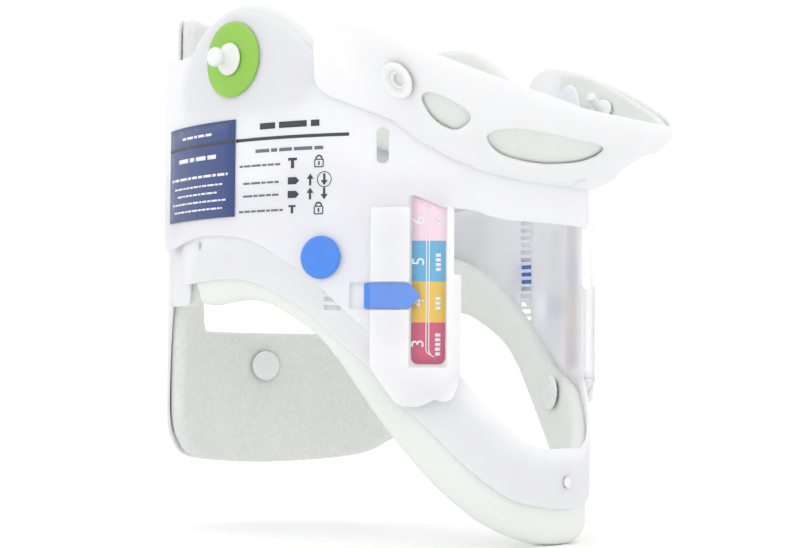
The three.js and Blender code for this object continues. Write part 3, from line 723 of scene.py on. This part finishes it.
def lower_shell():
    throat = spline([(0, 35.5), (10, 35.2), (18, 36.6), (30, 43.5), (48.2, 61.7)], 40)
    housing = [(48.2, 97.3), (50.6, 97.3), (50.6, 131)]
    wing = [(54, 134), (84, 134), (88, 140), (110, 140), (118, 134), (176, 126), (181, 121)]
    half = throat + housing + wing + arc(177, 100, 4, 0, -90, 8) + spline(LOWER_BOTTOM, 90)
    holes = [circle(*FRONT_RIVET, 2, 20)]
    for _, side in SIDES:
        for k in range(POSITIONS + LOCK_PINS - 1):
            z = LADDER_Z + PITCH * k
            holes.append(for_side(rounded_box(93, 99.5, z - 0.75, z + 0.75, 0.4), side))
        holes.append(for_side(circle(165.4, 110.5, 1.6, 20), side))
    outline = softened(symmetric(half), 2)
    return sheet("lower_body_sheet", [outline] + holes, *LOWER_SKIN, band_white, step=4)


put(lower_shell(), BODY_LOWER, "band_white", "lower_body_shell")

rim_half = (spline(FOAM_TOP, 60) + arc(162, 100.5, 11, 85, -50, 16) + spline(FOAM_BOTTOM, 90))
rim_holes = [circle(*FRONT_RIVET, 2.4, 20)]
rim_holes += [for_side(circle(*SIDE_RIVET, 2.8, 20), side) for _, side in SIDES]
rivet_spots = [FRONT_RIVET, SIDE_RIVET, (-SIDE_RIVET[0], SIDE_RIVET[1])]
rim = sheet("rim_foam_pad", [softened(symmetric(rim_half), 3)] + rim_holes, *RIM_FOAM, foam_rim,
            rounding=3.0, step=3.6, edge_step=2.0, relief=dimpled(rivet_spots, 0.5, 0.1))
put(rim, BODY_LOWER, "foam_white", "lower_rim_foam", pad=PAD_FILL)


def domed_head(inside, head, shank):
    """Profile of a foam rivet's inner head, which has a shallow rim."""
    under = inside - 1.2
    return [
        (0, inside - 1.75), (head * 0.55, inside - 1.8), (head * 0.8, inside - 2.0),
        (head - 0.5, inside - 1.9), (head, inside - 1.4), (head - 0.1, under), (shank, under),
    ]


def foam_rivet(name, matrix, padding, shell, head, outer_head):
    """Rivet through the foam and its shell."""
    outside, shank = shell[1], 1.6
    return turned(name, domed_head(padding[0], head, shank) + [
        (shank, outside + 0.3), (outer_head, outside + 0.3), (outer_head - 0.3, outside + 0.8),
        (0, outside + 0.85),
    ], matrix, rivet_white)


put(foam_rivet("front_rivet", standing(*FRONT_RIVET), RIM_FOAM, LOWER_SKIN, 5.5, 2.2), BODY_LOWER,
    "white_plastic", "front_foam_rivet")
for side_name, side in SIDES:
    profile = domed_head(RIM_FOAM[0], 6.8, 2) + [(2, -3.5), (0, -3.5)]
    place = standing(side * SIDE_RIVET[0], SIDE_RIVET[1])
    blind = turned(f"side_rivet_{side_name}", profile, place, rivet_white)
    put(blind, BODY_LOWER, "white_plastic", f"side_foam_rivet_{side_name}")

# ------------ size scale
SCALE_TOP = SCALE_FOOT + 4 * BAND_STEP + 2
WORD_WIDTHS = (3.1, 5.2, 2.2, 4.4, 6.1, 2.8, 3.8)


def flat_piece(name, loops, low, high, material, step=3.5, place=on_ring):
    return sheet(name, loops, low, high, material, place=place, rounding=0, step=step,
                 edge_step=2.0)


def glyph(name, text, s, z, height, d, material):
    """A digit that reads upwards, bent round the collar."""
    curve = bpy.data.curves.new(name + "_text", "FONT")
    curve.body = text
    curve.size = height
    curve.align_x = curve.align_y = "CENTER"
    curve.resolution_u = 3
    source = bpy.data.objects.new(name + "_text", curve)
    bpy.context.scene.collection.objects.link(source)
    bpy.context.view_layer.update()
    mesh = source.evaluated_get(bpy.context.evaluated_depsgraph_get()).to_mesh()
    flat = [(s + v.co.y, z + v.co.x) for v in mesh.vertices]
    faces = [tuple(p.vertices) for p in mesh.polygons]
    bpy.data.objects.remove(source)
    return new_object(name, [on_ring(*here, d) for here in flat], faces, material, flat)


def joined(name, pieces):
    """Joins mesh objects into the first one."""
    verts, faces, flat, slots, which = [], [], [], [], []
    for piece in pieces:
        mesh = piece.data
        base = len(verts)
        verts += [tuple(v.co) for v in mesh.vertices]
        uv = {}
        if mesh.uv_layers:
            for loop, item in zip(mesh.loops, mesh.uv_layers[0].data):
                uv[loop.vertex_index] = (item.uv[0] / MM, item.uv[1] / MM)
        flat += [uv.get(i, (0, 0)) for i in range(len(mesh.vertices))]
        material = mesh.materials[0]
        if material not in slots:
            slots.append(material)
        faces += [tuple(base + i for i in p.vertices) for p in mesh.polygons]
        which += [slots.index(material)] * len(mesh.polygons)
        bpy.data.objects.remove(piece)
    made = new_object(name, verts, faces, slots[0], flat)
    for extra in slots[1:]:
        made.data.materials.append(extra)
    made.data.polygons.foreach_set("material_index", which)
    return made


def bar(s0, s1, z0, z1, d, material):
    """A thin printed bar."""
    low, high = min(s0, s1), max(s0, s1)
    parts = max(1, math.ceil((high - low) / 3))
    verts, faces, flat = [], [], []
    for i in range(parts + 1):
        s = low + (high - low) * i / parts
        for z, rise in ((z0, d), (z1, d), (z1, d + INK), (z0, d + INK)):
            verts.append(on_ring(s, z, rise))
            flat.append((s, z))
    for i in range(parts):
        for k in range(4):
            n = (k + 1) % 4
            faces.append((4 * i + k, 4 * i + n, 4 * i + 4 + n, 4 * i + 4 + k))
    faces += [(3, 2, 1, 0), tuple(4 * parts + k for k in range(4))]
    made = new_object("bar", verts, faces, material, flat)
    outward(made)
    return made


def words(side, s0, s1, z, height, d, material, start=0):
    """A row of dashes that stands for a line of small type, from s1 (read first) to s0."""
    made, at, k = [], s1, start
    while at - s0 > 0.8:
        width = min(WORD_WIDTHS[k % len(WORD_WIDTHS)] * height, at - s0)
        made.append(bar(side * (at - width), side * at, z - height / 2, z + height / 2, d,
                        material))
        at -= width + 0.75 * height
        k += 1
    return made


for side_name, side in SIDES:
    strip = rounded_box(53.6, 66, SCALE_FOOT, SCALE_TOP, 2.5)
    put(flat_piece(f"scale_{side_name}", [for_side(strip, side)], *SCALE_SKIN, scale_bands, 3),
        BODY_LOWER, "scale_print", f"size_scale_{side_name}")
    marks = []
    for k, digit in enumerate("3456"):
        z = SCALE_FOOT + BAND_STEP * (k + 0.5)
        marks.append(glyph(f"digit_{digit}_{side_name}", digit, side * 63.4, z, 6.4,
                           ON_SCALE + 0.02, ink_white))
        span = BAND_STEP * (0.6, 0.42, 0.5, 0.3)[k] / 2
        letters = int(2 * span / 1.7)
        for n in range(letters):
            low = z + 1.7 * (n - letters / 2)
            marks.append(bar(side * 55.4, side * 57.3, low, low + 1.15, ON_SCALE, ink_white))
    for lane, hook in ((59.6, 3.2), (60.6, 2.2)):
        low = SCALE_FOOT + 5.5
        line = [(lane + 0.18, SCALE_TOP - 4), (lane - 0.18, SCALE_TOP - 4)]
        line += [(lane - hook + (hook - 0.18) * math.cos(a), low - (hook - 0.18) * math.sin(a))
                 for a in np.linspace(0, 1.2, 7)]
        line += [(lane - hook + (hook + 0.18) * math.cos(a), low - (hook + 0.18) * math.sin(a))
                 for a in np.linspace(1.2, 0, 7)]
        marks.append(flat_piece("line", [for_side(line, side)], ON_SCALE, ON_SCALE + INK, ink_white,
                                3))
    put(joined(f"scale_marks_{side_name}", marks), BODY_LOWER, "scale_print")

    plate = [
        (80.3, 64), (80.3, 121.5), (50.8, 121.5), (50.8, 97.3), (48.2, 97.3), (48.2, 61.5),
        *arc(54.2, 57.5, 5.4, 230, 300, 8), (62.5, 50), (70.3, 50.5),
    ]
    foot_wall = [
        (48.4, 61.8), (50, 61.8), (56.5, 55.5), (62.8, 51.6), (69, 51.9), (69, 50.8), (62.4, 50.2),
        (56, 53.8), (48.4, 59.6),
    ]
    throat_wall = rounded_box(48.4, 49.8, 60.6, 96, 0.3)
    cover = joined(f"cover_{side_name}", [
        sheet("plate", [for_side(softened(plate, 1.6), side)], *COVER_SKIN, cover_clear,
              rounding=0.5),
        flat_piece("foot", [for_side(foot_wall, side)], *COVER_WALL, cover_clear),
        flat_piece("wall", [for_side(throat_wall, side)], *COVER_WALL, cover_clear),
    ])
    put(cover, BODY_LOWER, "clear_plastic", f"scale_cover_{side_name}")

# ------------ upper body
LATCH_Z, LATCH_HALF, LATCH_TRAVEL = 89.7, 4.6, 5.6
LATCH_FOOT, LATCH_TOP = LATCH_Z - LATCH_HALF, LATCH_Z + LATCH_HALF
LOCK = (99.5, 103.7)
DISC = (141.5, 179)


def upper_shell():
    cross_top = spline([(0, 137), (20, 138.5), (38, 143), (50, 152), (60, 170)], 30)
    ear = arc(70, 168.5, 10, 150, 40, 14)
    shoulder = [(88, 171), (98, 173)]
    lobe = arc(139, 155, 42, 142, 44, 44)
    rear = [(179, 183.5), *arc(194, 181.6, 4, 90, 0, 8), *arc(192, 116, 7, 0, -90, 10)]
    arch = spline([
        (188, 109.6), (166, 113), (153, 113.5), (133, 111), (118, 104.3), (104.4, 96), (92.5, 86),
        (80, 75.5),
    ], 60)
    tongue = [(76, 72), (71, 71), (67, 75), (67, 126.6), (54.6, 121.4)]
    cross_bottom = spline([(48, 121), (42.9, 120.7), (35.4, 118.7), (25.6, 117.6), (0, 117.5)], 30)
    half = cross_top + ear + shoulder + lobe + rear + arch[1:] + tongue + cross_bottom
    holes = []
    for _, side in SIDES:
        holes += [
            for_side(rounded_box(74.6, 79, 137.5, 150, 2), side),
            for_side(rounded_box(70.5, 83 + LATCH_TRAVEL, LATCH_FOOT, LATCH_TOP, 0.8), side),
            for_side(circle(*LOCK, 5.2), side),
            for_side(circle(*DISC, 2.3, 20), side),
        ]
    outline = softened(symmetric(half), 3)
    return sheet("upper_body_sheet", [outline] + holes, *UPPER_SKIN, white_panel, place=on_upper,
                 step=4)


put(upper_shell(), BODY_UPPER, "white_plastic", "upper_body_shell")

for side_name, side in SIDES:
    crown = arc(139, 158, 42, 18, 158, 60)
    foot = spline([(100, 172), (104, 161), (122, 157), (160, 157), (176, 161), (179, 170)], 40)
    pad = sheet(f"lobe_pad_{side_name}", [for_side(crown + foot[1:-1], side)], *LOBE_FOAM, foam_rim,
                rounding=2.9, step=3.4, edge_step=2, relief=dimpled([], 0, 0.1))
    put(pad, BODY_UPPER, "foam_white", f"lobe_foam_{side_name}", pad=PAD_FILL)

    ring = [for_side(circle(*DISC, 14.2, 72), side), for_side(circle(*DISC, 2.6, 24), side)]
    disc = sheet(f"disc_{side_name}", ring, *DISC_SKIN, green, rounding=0.5, step=2.4,
                 edge_step=1.2)
    put(disc, BODY_UPPER, "green_plastic", f"hook_disc_{side_name}")

    seat = 2.0
    peg = turned(f"peg_{side_name}", [
        (0, -0.8), (1.9, -0.8), (1.9, seat), (6.1, seat), (6.15, seat + 0.7), (5.4, seat + 1.1),
        (4, seat + 1.7), (2.9, seat + 2.7), (2.3, seat + 4.2), (2.4, seat + 4.8), (3.2, seat + 5.6),
        (3.6, seat + 6.4), (3.6, seat + 7.6), (3.2, seat + 8.4), (2.2, seat + 8.95),
        (0, seat + 9.1),
    ], standing(side * DISC[0], DISC[1]), rivet_white, radius=0.5, pieces=64)
    put(peg, BODY_UPPER, "white_plastic", f"hook_peg_{side_name}")

    # Safety lock: a crowned button with a fine rim and three pins behind it.
    face = 0.5
    button = turned("button", [
        (0, -1.7), (4.8, -1.7), (4.8, face), (7.6, face), (7.8, face + 0.5), (7.8, face + 1.3),
        (7.2, face + 1.9), (6.4, face + 2.1), (5.9, face + 1.95), (4, face + 2.25), (0, face + 2.5),
    ], standing(side * LOCK[0], LOCK[1]), blue, radius=0.3, pieces=64)
    pins = []
    for k in (-1, 0, 1):
        z = LOCK[1] + PITCH * k
        pins.append(sheet("pin", [for_side(rounded_box(94, 98.8, z - 0.5, z + 0.5, 0.35), side)],
                          -2.3, -1.5, blue, rounding=0.3, step=1.5, edge_step=1))
    put(joined(f"lock_{side_name}", [button, *pins]), f"safety_lock_{side_name}", "blue_plastic",
        f"safety_lock_{side_name}")

    # Arrow latch: a flat cap with grip ribs, and its foot in the shell's slot.
    cap = [
        (82.9, LATCH_FOOT), (82.9, LATCH_TOP), (66.6, LATCH_TOP), (62.3, LATCH_Z),
        (66.6, LATCH_FOOT),
    ]

    def ribs(s, z, face):
        if face < 0:
            return 0
        return 0.22 * sum(math.exp(-((abs(s) - at) / 0.45) ** 2) for at in (70.6, 80.4, 78.8))

    cap_piece = sheet("cap", [for_side(softened(cap, 0.7), side)], 0.5, 1.5, blue, rounding=0.4,
                      step=0.9, edge_step=0.9, relief=ribs)
    foot = rounded_box(71, 82.6, LATCH_FOOT + 0.3, LATCH_TOP - 0.3, 0.5)
    foot_piece = flat_piece("foot", [for_side(foot, side)], -1.15, 0.9, blue)
    put(joined(f"arrow_latch_{side_name}", [cap_piece, foot_piece]), f"latch_{side_name}",
        "blue_plastic", f"latch_{side_name}")

# ------------ label and printing
for side_name, side in SIDES:
    outline = for_side([(139.2, 120), (188, 120), (188, 156.3), (139.2, 156.3)], side)
    film = flat_piece(f"label_{side_name}", [outline], *LABEL_SKIN, label_blue, 4)
    put(film, BODY_UPPER, "label_blue", f"sizing_label_{side_name}")
    prints = []
    for k, (z, s0, s1, height) in enumerate((
        (151.8, 153, 175, 1.0), (143.2, 150, 178, 1.6), (136.2, 143, 185, 1.0),
        (132.6, 146, 182, 0.7), (129.6, 149, 179, 0.7), (126.6, 144, 184, 0.7),
        (123.6, 146, 182, 0.7),
    )):
        prints += words(side, s0, s1, z, height, ON_LABEL, ink_white, k)
    prints.append(bar(side * 139.2, side * 188, 147.7, 148.7, ON_LABEL, ink_black))
    prints.append(bar(side * 89.3, side * 139.1, 147.6, 148.8, ON_PANEL, ink_black))
    for k, (z, s0, s1, height, ink) in enumerate((
        (152.8, 101, 127, 2.3, ink_black), (143.7, 98, 129, 1.25, ink_grey),
        (138.4, 117, 137, 0.75, ink_grey), (131.9, 118, 135, 0.75, ink_grey),
        (127.2, 118, 135, 0.75, ink_grey), (121.5, 116, 137, 0.75, ink_grey),
    )):
        prints += words(side, s0, s1, z, height, ON_PANEL, ink, k)

    def icon(*loops):
        prints.append(flat_piece("icon", [for_side(loop, side) for loop in loops], ON_PANEL,
                                 ON_PANEL + INK, ink_black, 2))

    def mirrored_icon(s, z, half):
        icon([(s + a, z + b) for a, b in half] + [(s - a, z + b) for a, b in half[::-1]])

    def tee(s, z, size):
        stem, bar_foot = 0.35 * size, 0.5 * size
        mirrored_icon(s, z, [(stem, -size), (stem, bar_foot), (size, bar_foot), (size, size)])

    def padlock(s, z):
        icon(rounded_box(s - 1.9, s + 1.9, z - 2.2, z + 0.9, 0.6),
             rounded_box(s - 1.5, s + 1.5, z - 1.8, z + 0.5, 0.4))
        icon(rounded_box(s - 0.3, s + 0.3, z - 1.4, z + 0.1, 0.25))
        icon(arc(s, z + 0.9, 1.5, 0, 180, 10) + arc(s, z + 0.9, 0.9, 180, 0, 10))

    def arrow(s, z, up):
        mirrored_icon(s, z, [(0.45, -2.1 * up), (0.45, 0.3 * up), (1.4, 0.3 * up), (0, 2.2 * up)])

    def tab(s, z):
        icon([(s + 2.4, z - 1.3), (s + 2.4, z + 1.3), (s - 1, z + 1.3), (s - 2.4, z),
              (s - 1, z - 1.3)])

    tee(112, 138.5, 1.9)
    padlock(101, 138.7)
    for z, tab_z in ((132.1, 132), (127, 127)):
        tab(111.5, tab_z)
        arrow(104.5, z, 1)
        arrow(98.8, z, -1)
    icon(circle(98.8, 132.1, 2.9, 28), circle(98.8, 132.1, 2.6, 28))
    tee(112, 121.6, 1.5)
    padlock(101, 121.6)
    put(joined(f"print_{side_name}", prints), BODY_UPPER, "label_blue")

# ------------ chin support
CHIN_END = 102
PIN_S = 67.5
PIN_RISE = CHIN_SPAN * (166 - chin_low(PIN_S)) / (chin_rim(PIN_S) - chin_low(PIN_S))


def pin_hole(pieces):
    return [(PIN_S + s, PIN_RISE + 1.6 * r) for s, r in circle(0, 0, 3.6, pieces)]


def chin_shell():
    half = [(CHIN_END - 8, 0), *arc(CHIN_END - 8, 8, 8, -90, 0, 10),
            *arc(CHIN_END - 8, 32, 8, 0, 90, 10)]
    shoulder_vent = [
        (47, 18), (48.5, 22), (54, 23.4), (59, 22.5), (61.2, 18.5), (59.5, 14), (56, 11.2),
        (50.5, 12),
    ]
    chin_vent = [
        (8.5, 18.5), (11, 12.5), (20, 9), (31, 7.6), (38.5, 9.5), (41.5, 14), (38.5, 18.5),
        (33, 21.5), (22, 23.6), (12, 23),
    ]
    holes = [circle(0, 3, 2.2, 20)]
    for _, side in SIDES:
        for vent in (shoulder_vent, chin_vent):
            holes.append(for_side(rounded_loop(vent), side))
        holes.append(for_side(pin_hole(24), side))
    return sheet("chin_scoop", [symmetric(half)] + holes, *CHIN_SKIN, chin_white_shaded, place=on_chin,
                 rounding=0.8, step=2.6, edge_step=1.4)


put(chin_shell(), BODY_UPPER, "white_plastic", "chin_support_shell")
liner_half = spline([
    (0, 6), (20, 5.5), (40, 6.5), (54, 8.5), (66, 11.5), (76, 16), (84, 24),
], 40) + [(84, 36), (81, 38)]
liner_holes = [for_side(pin_hole(24), side) for _, side in SIDES]
liner = sheet("chin_liner", [softened(symmetric(liner_half), 3)] + liner_holes, *CHIN_FOAM,
              foam_chin_shaded, place=on_chin, rounding=1.8, step=2.6, edge_step=1.8)
put(liner, BODY_UPPER, "foam_white", "chin_foam", pad=PAD_FILL)
for side_name, side in SIDES:
    eyelet = turned(f"chin_eyelet_{side_name}", [
        (0, -15.5), (1.8, -15.5), (1.8, -6.7), (3.9, -6.7), (4.8, -6.2), (4.8, -5.4), (2.4, -5.4),
        (2.4, 3),
        (6.6, 3), (6.9, 3.5), (6.5, 4.4), (5.6, 4.65), (4.4, 4.3), (3.5, 3.2), (3.0, 1.4),
        (0, 1.2),
    ], standing(side * PIN_S, PIN_RISE, on_chin), rivet_white)
    put(eyelet, BODY_UPPER, "white_plastic", f"chin_rivet_{side_name}")

# ------------ back panel
RIVETS = (("low", 0, 66), ("right", -62, 130), ("left", 0, 160))
RIGHT_END = HINGE_S + 0.3 - BACK_CENTRE
BACK_BOTTOM = [
    (-82, 74), (-76, 55), (-68, 43), (-56, 34.5), (-40, 28), (0, 25), (40, 28), (56, 34.5),
    (68, 43), (76, 55),
]


def back_loop(loop):
    return [(BACK_CENTRE + t, z) for t, z in loop]


def back_shell():
    opening = (arc(-32.5, 84, 4, 180, 270, 6) + arc(32.5, 84, 4, -90, 0, 6)
               + arc(34, 112, 6, 0, 90, 6) + arc(-34, 112, 6, 90, 180, 6))
    left = [(85, 90), *arc(83, 141, 5, 0, 90, 6), (66, 147), (60, 158), (56, 176)]
    top = arc(51, 204, 5, 0, 90, 6) + arc(-51, 204, 5, 90, 180, 6)
    right = [(-56, 186), (-62, 168), (-76, 146), (RIGHT_END, 140), (RIGHT_END, 90)]
    outline = spline(BACK_BOTTOM + [(82, 74)], 80) + left + top + right
    holes = [back_loop(circle(t, z, 2, 20)) for _, t, z in RIVETS]
    return sheet("back_sheet", [back_loop(softened(outline, 4)), back_loop(opening)] + holes,
                 *BACK_SKIN, back_white, place=on_back, step=4)


put(back_shell(), BODY_BACK, "white_plastic", "back_panel_shell")


def back_pad():
    left = LEFT_END - 4 - BACK_CENTRE
    notch = [(79, 80), *arc(-32.5, 84, 4, 270, 180, 6), *arc(-34, 112, 6, 180, 90, 6), (left, 118)]
    top = [(left, 204), (left - 5, 209), *arc(-51, 204, 5, 90, 180, 6)]
    right = [(-56, 186), (-62, 168), (-76, 146), (RIGHT_END + 2, 140), (RIGHT_END + 2, 90)]
    outline = spline(BACK_BOTTOM + [(79, 66)], 80) + notch + top + right
    holes = [back_loop(circle(t, z, 3, 20)) for _, t, z in RIVETS]
    spots = [(BACK_CENTRE + t, z) for _, t, z in RIVETS]
    return sheet("back_liner", [back_loop(softened(outline, 4))] + holes, *BACK_FOAM, foam_back,
                 place=on_back, rounding=3.0, step=3.8, edge_step=2.2,
                 relief=dimpled(spots, 0.6, 0.12))


put(back_pad(), BODY_BACK, "foam_grey", "back_foam", pad=PAD_FILL)
for rivet_name, t, z in RIVETS:
    rivet = foam_rivet(f"back_rivet_{rivet_name}", standing(BACK_CENTRE + t, z, on_back), BACK_FOAM,
                       BACK_SKIN, 6.2, 3)
    put(rivet, BODY_BACK, "white_plastic", f"back_foam_rivet_{rivet_name}")

fixed = sheet("fixed_end", [rounded_box(177, HINGE_S - 0.3, 88, 140, 4)], *FIXED_SKIN, back_white,
              step=4)
put(fixed, BODY_LOWER, "white_plastic", "back_fixed_end")
fixed_pad = sheet("fixed_end_liner", [rounded_box(178, HINGE_S - 0.3, 88, 139, 4)], *FIXED_FOAM,
                  foam_back, rounding=2.9, step=3.6, edge_step=2.2)
put(fixed_pad, BODY_LOWER, "foam_grey", "back_fixed_foam", pad=PAD_FILL)

strap_end = BACK_CENTRE + 106
strap_outline = (arc(strap_end - 6, 112, 6, -90, 0, 8) + arc(strap_end - 6, 136, 6, 0, 90, 8)
                 + [(BACK_CENTRE + 66, 142), (BACK_CENTRE + 66, 106)])
strap = sheet("strap", [strap_outline], 0.9, 1.9, tape_white, place=on_back, rounding=0.45)
put(strap, BODY_BACK, "hook_loop_tape", "closure_strap")
hook_low, hook_high = BACK_CENTRE + 90, BACK_CENTRE + 104
hook = sheet("hooks", [rounded_box(hook_low, hook_high, 110, 138, 1)], -0.5, 0.6, tape_white,
             place=on_back, rounding=0.4)
put(hook, BODY_BACK, "hook_loop_tape", "hook_patch")
loops_low, loops_high = hook_low - 2 * HALF_GIRTH - 1, hook_high - 2 * HALF_GIRTH + 2
loops = sheet("loops", [rounded_box(loops_low, loops_high, 108, 140, 1)], *LABEL_SKIN, tape_white,
              rounding=0.1)
put(loops, BODY_UPPER, "hook_loop_tape", "loop_patch")

# ------------ studio
floor_look = Look("studio_floor")
floor_look.colour(floor_look.ramp(floor_look.noise(3, 2), [(0.2, (0.93,) * 3), (0.8, (0.95,) * 3)]))
floor_look.roughness(floor_look.span(floor_look.noise(6, 2), 0.75, 0.85))
floor = bpy.data.meshes.new("floor")
reach = 6.0
floor.from_pydata([(-reach, -reach, 0), (reach, -reach, 0), (reach, reach, 0), (-reach, reach, 0)],
                  [], [(0, 1, 2, 3)])
floor.materials.append(floor_look.material)
floor_piece = bpy.data.objects.new("floor", floor)
bpy.context.scene.collection.objects.link(floor_piece)

world = bpy.data.worlds.new("studio")
bpy.context.scene.world = world
world.use_nodes = True
background = world.node_tree.nodes["Background"]
background.inputs[0].default_value = (1, 1, 1, 1)
background.inputs[1].default_value = 1.15


def area_light(name, place, size, power):
    """A square light that faces the middle of the collar."""
    data = bpy.data.lights.new(name, "AREA")
    data.shape = "RECTANGLE"
    data.size = data.size_y = size
    data.energy = power
    made = bpy.data.objects.new(name, data)
    bpy.context.scene.collection.objects.link(made)
    made.location = place
    made.rotation_mode = "QUATERNION"
    aim = Vector((0, 0, 0.1)) - Vector(place)
    made.rotation_quaternion = aim.to_track_quat("-Z", "Y")


area_light("key_light", (-0.9, -0.15, 0.6), 0.5, 0.35)
area_light("fill_light", (0.2, -1.0, 0.5), 0.6, 0.1)
area_light("top_light", (0.1, 0.1, 1.1), 0.9, 0.6)

# ------------ camera
PITCH_UP, ROLL = math.radians(3.15), math.radians(-0.5)
heading = Vector((0.7912, 0.6115, 0)).normalized()
forward = heading * math.cos(PITCH_UP) + Vector((0, 0, math.sin(PITCH_UP)))
right = Vector((heading.y, -heading.x, 0))
upward = right.cross(forward)
camera_right = right * math.cos(ROLL) - upward * math.sin(ROLL)
camera_up = right * math.sin(ROLL) + upward * math.cos(ROLL)
camera_data = bpy.data.cameras.new("camera")
camera_data.sensor_width = 36
camera_data.lens = 94.5
camera = bpy.data.objects.new("camera", camera_data)
bpy.context.scene.collection.objects.link(camera)
turn = Matrix((camera_right, camera_up, -forward)).transposed()
camera.matrix_world = Matrix.Translation((-0.6477, -0.4983, 0.0563)) @ turn.to_4x4()
bpy.context.scene.camera = camera
bpy.context.scene.view_settings.view_transform = "Standard"
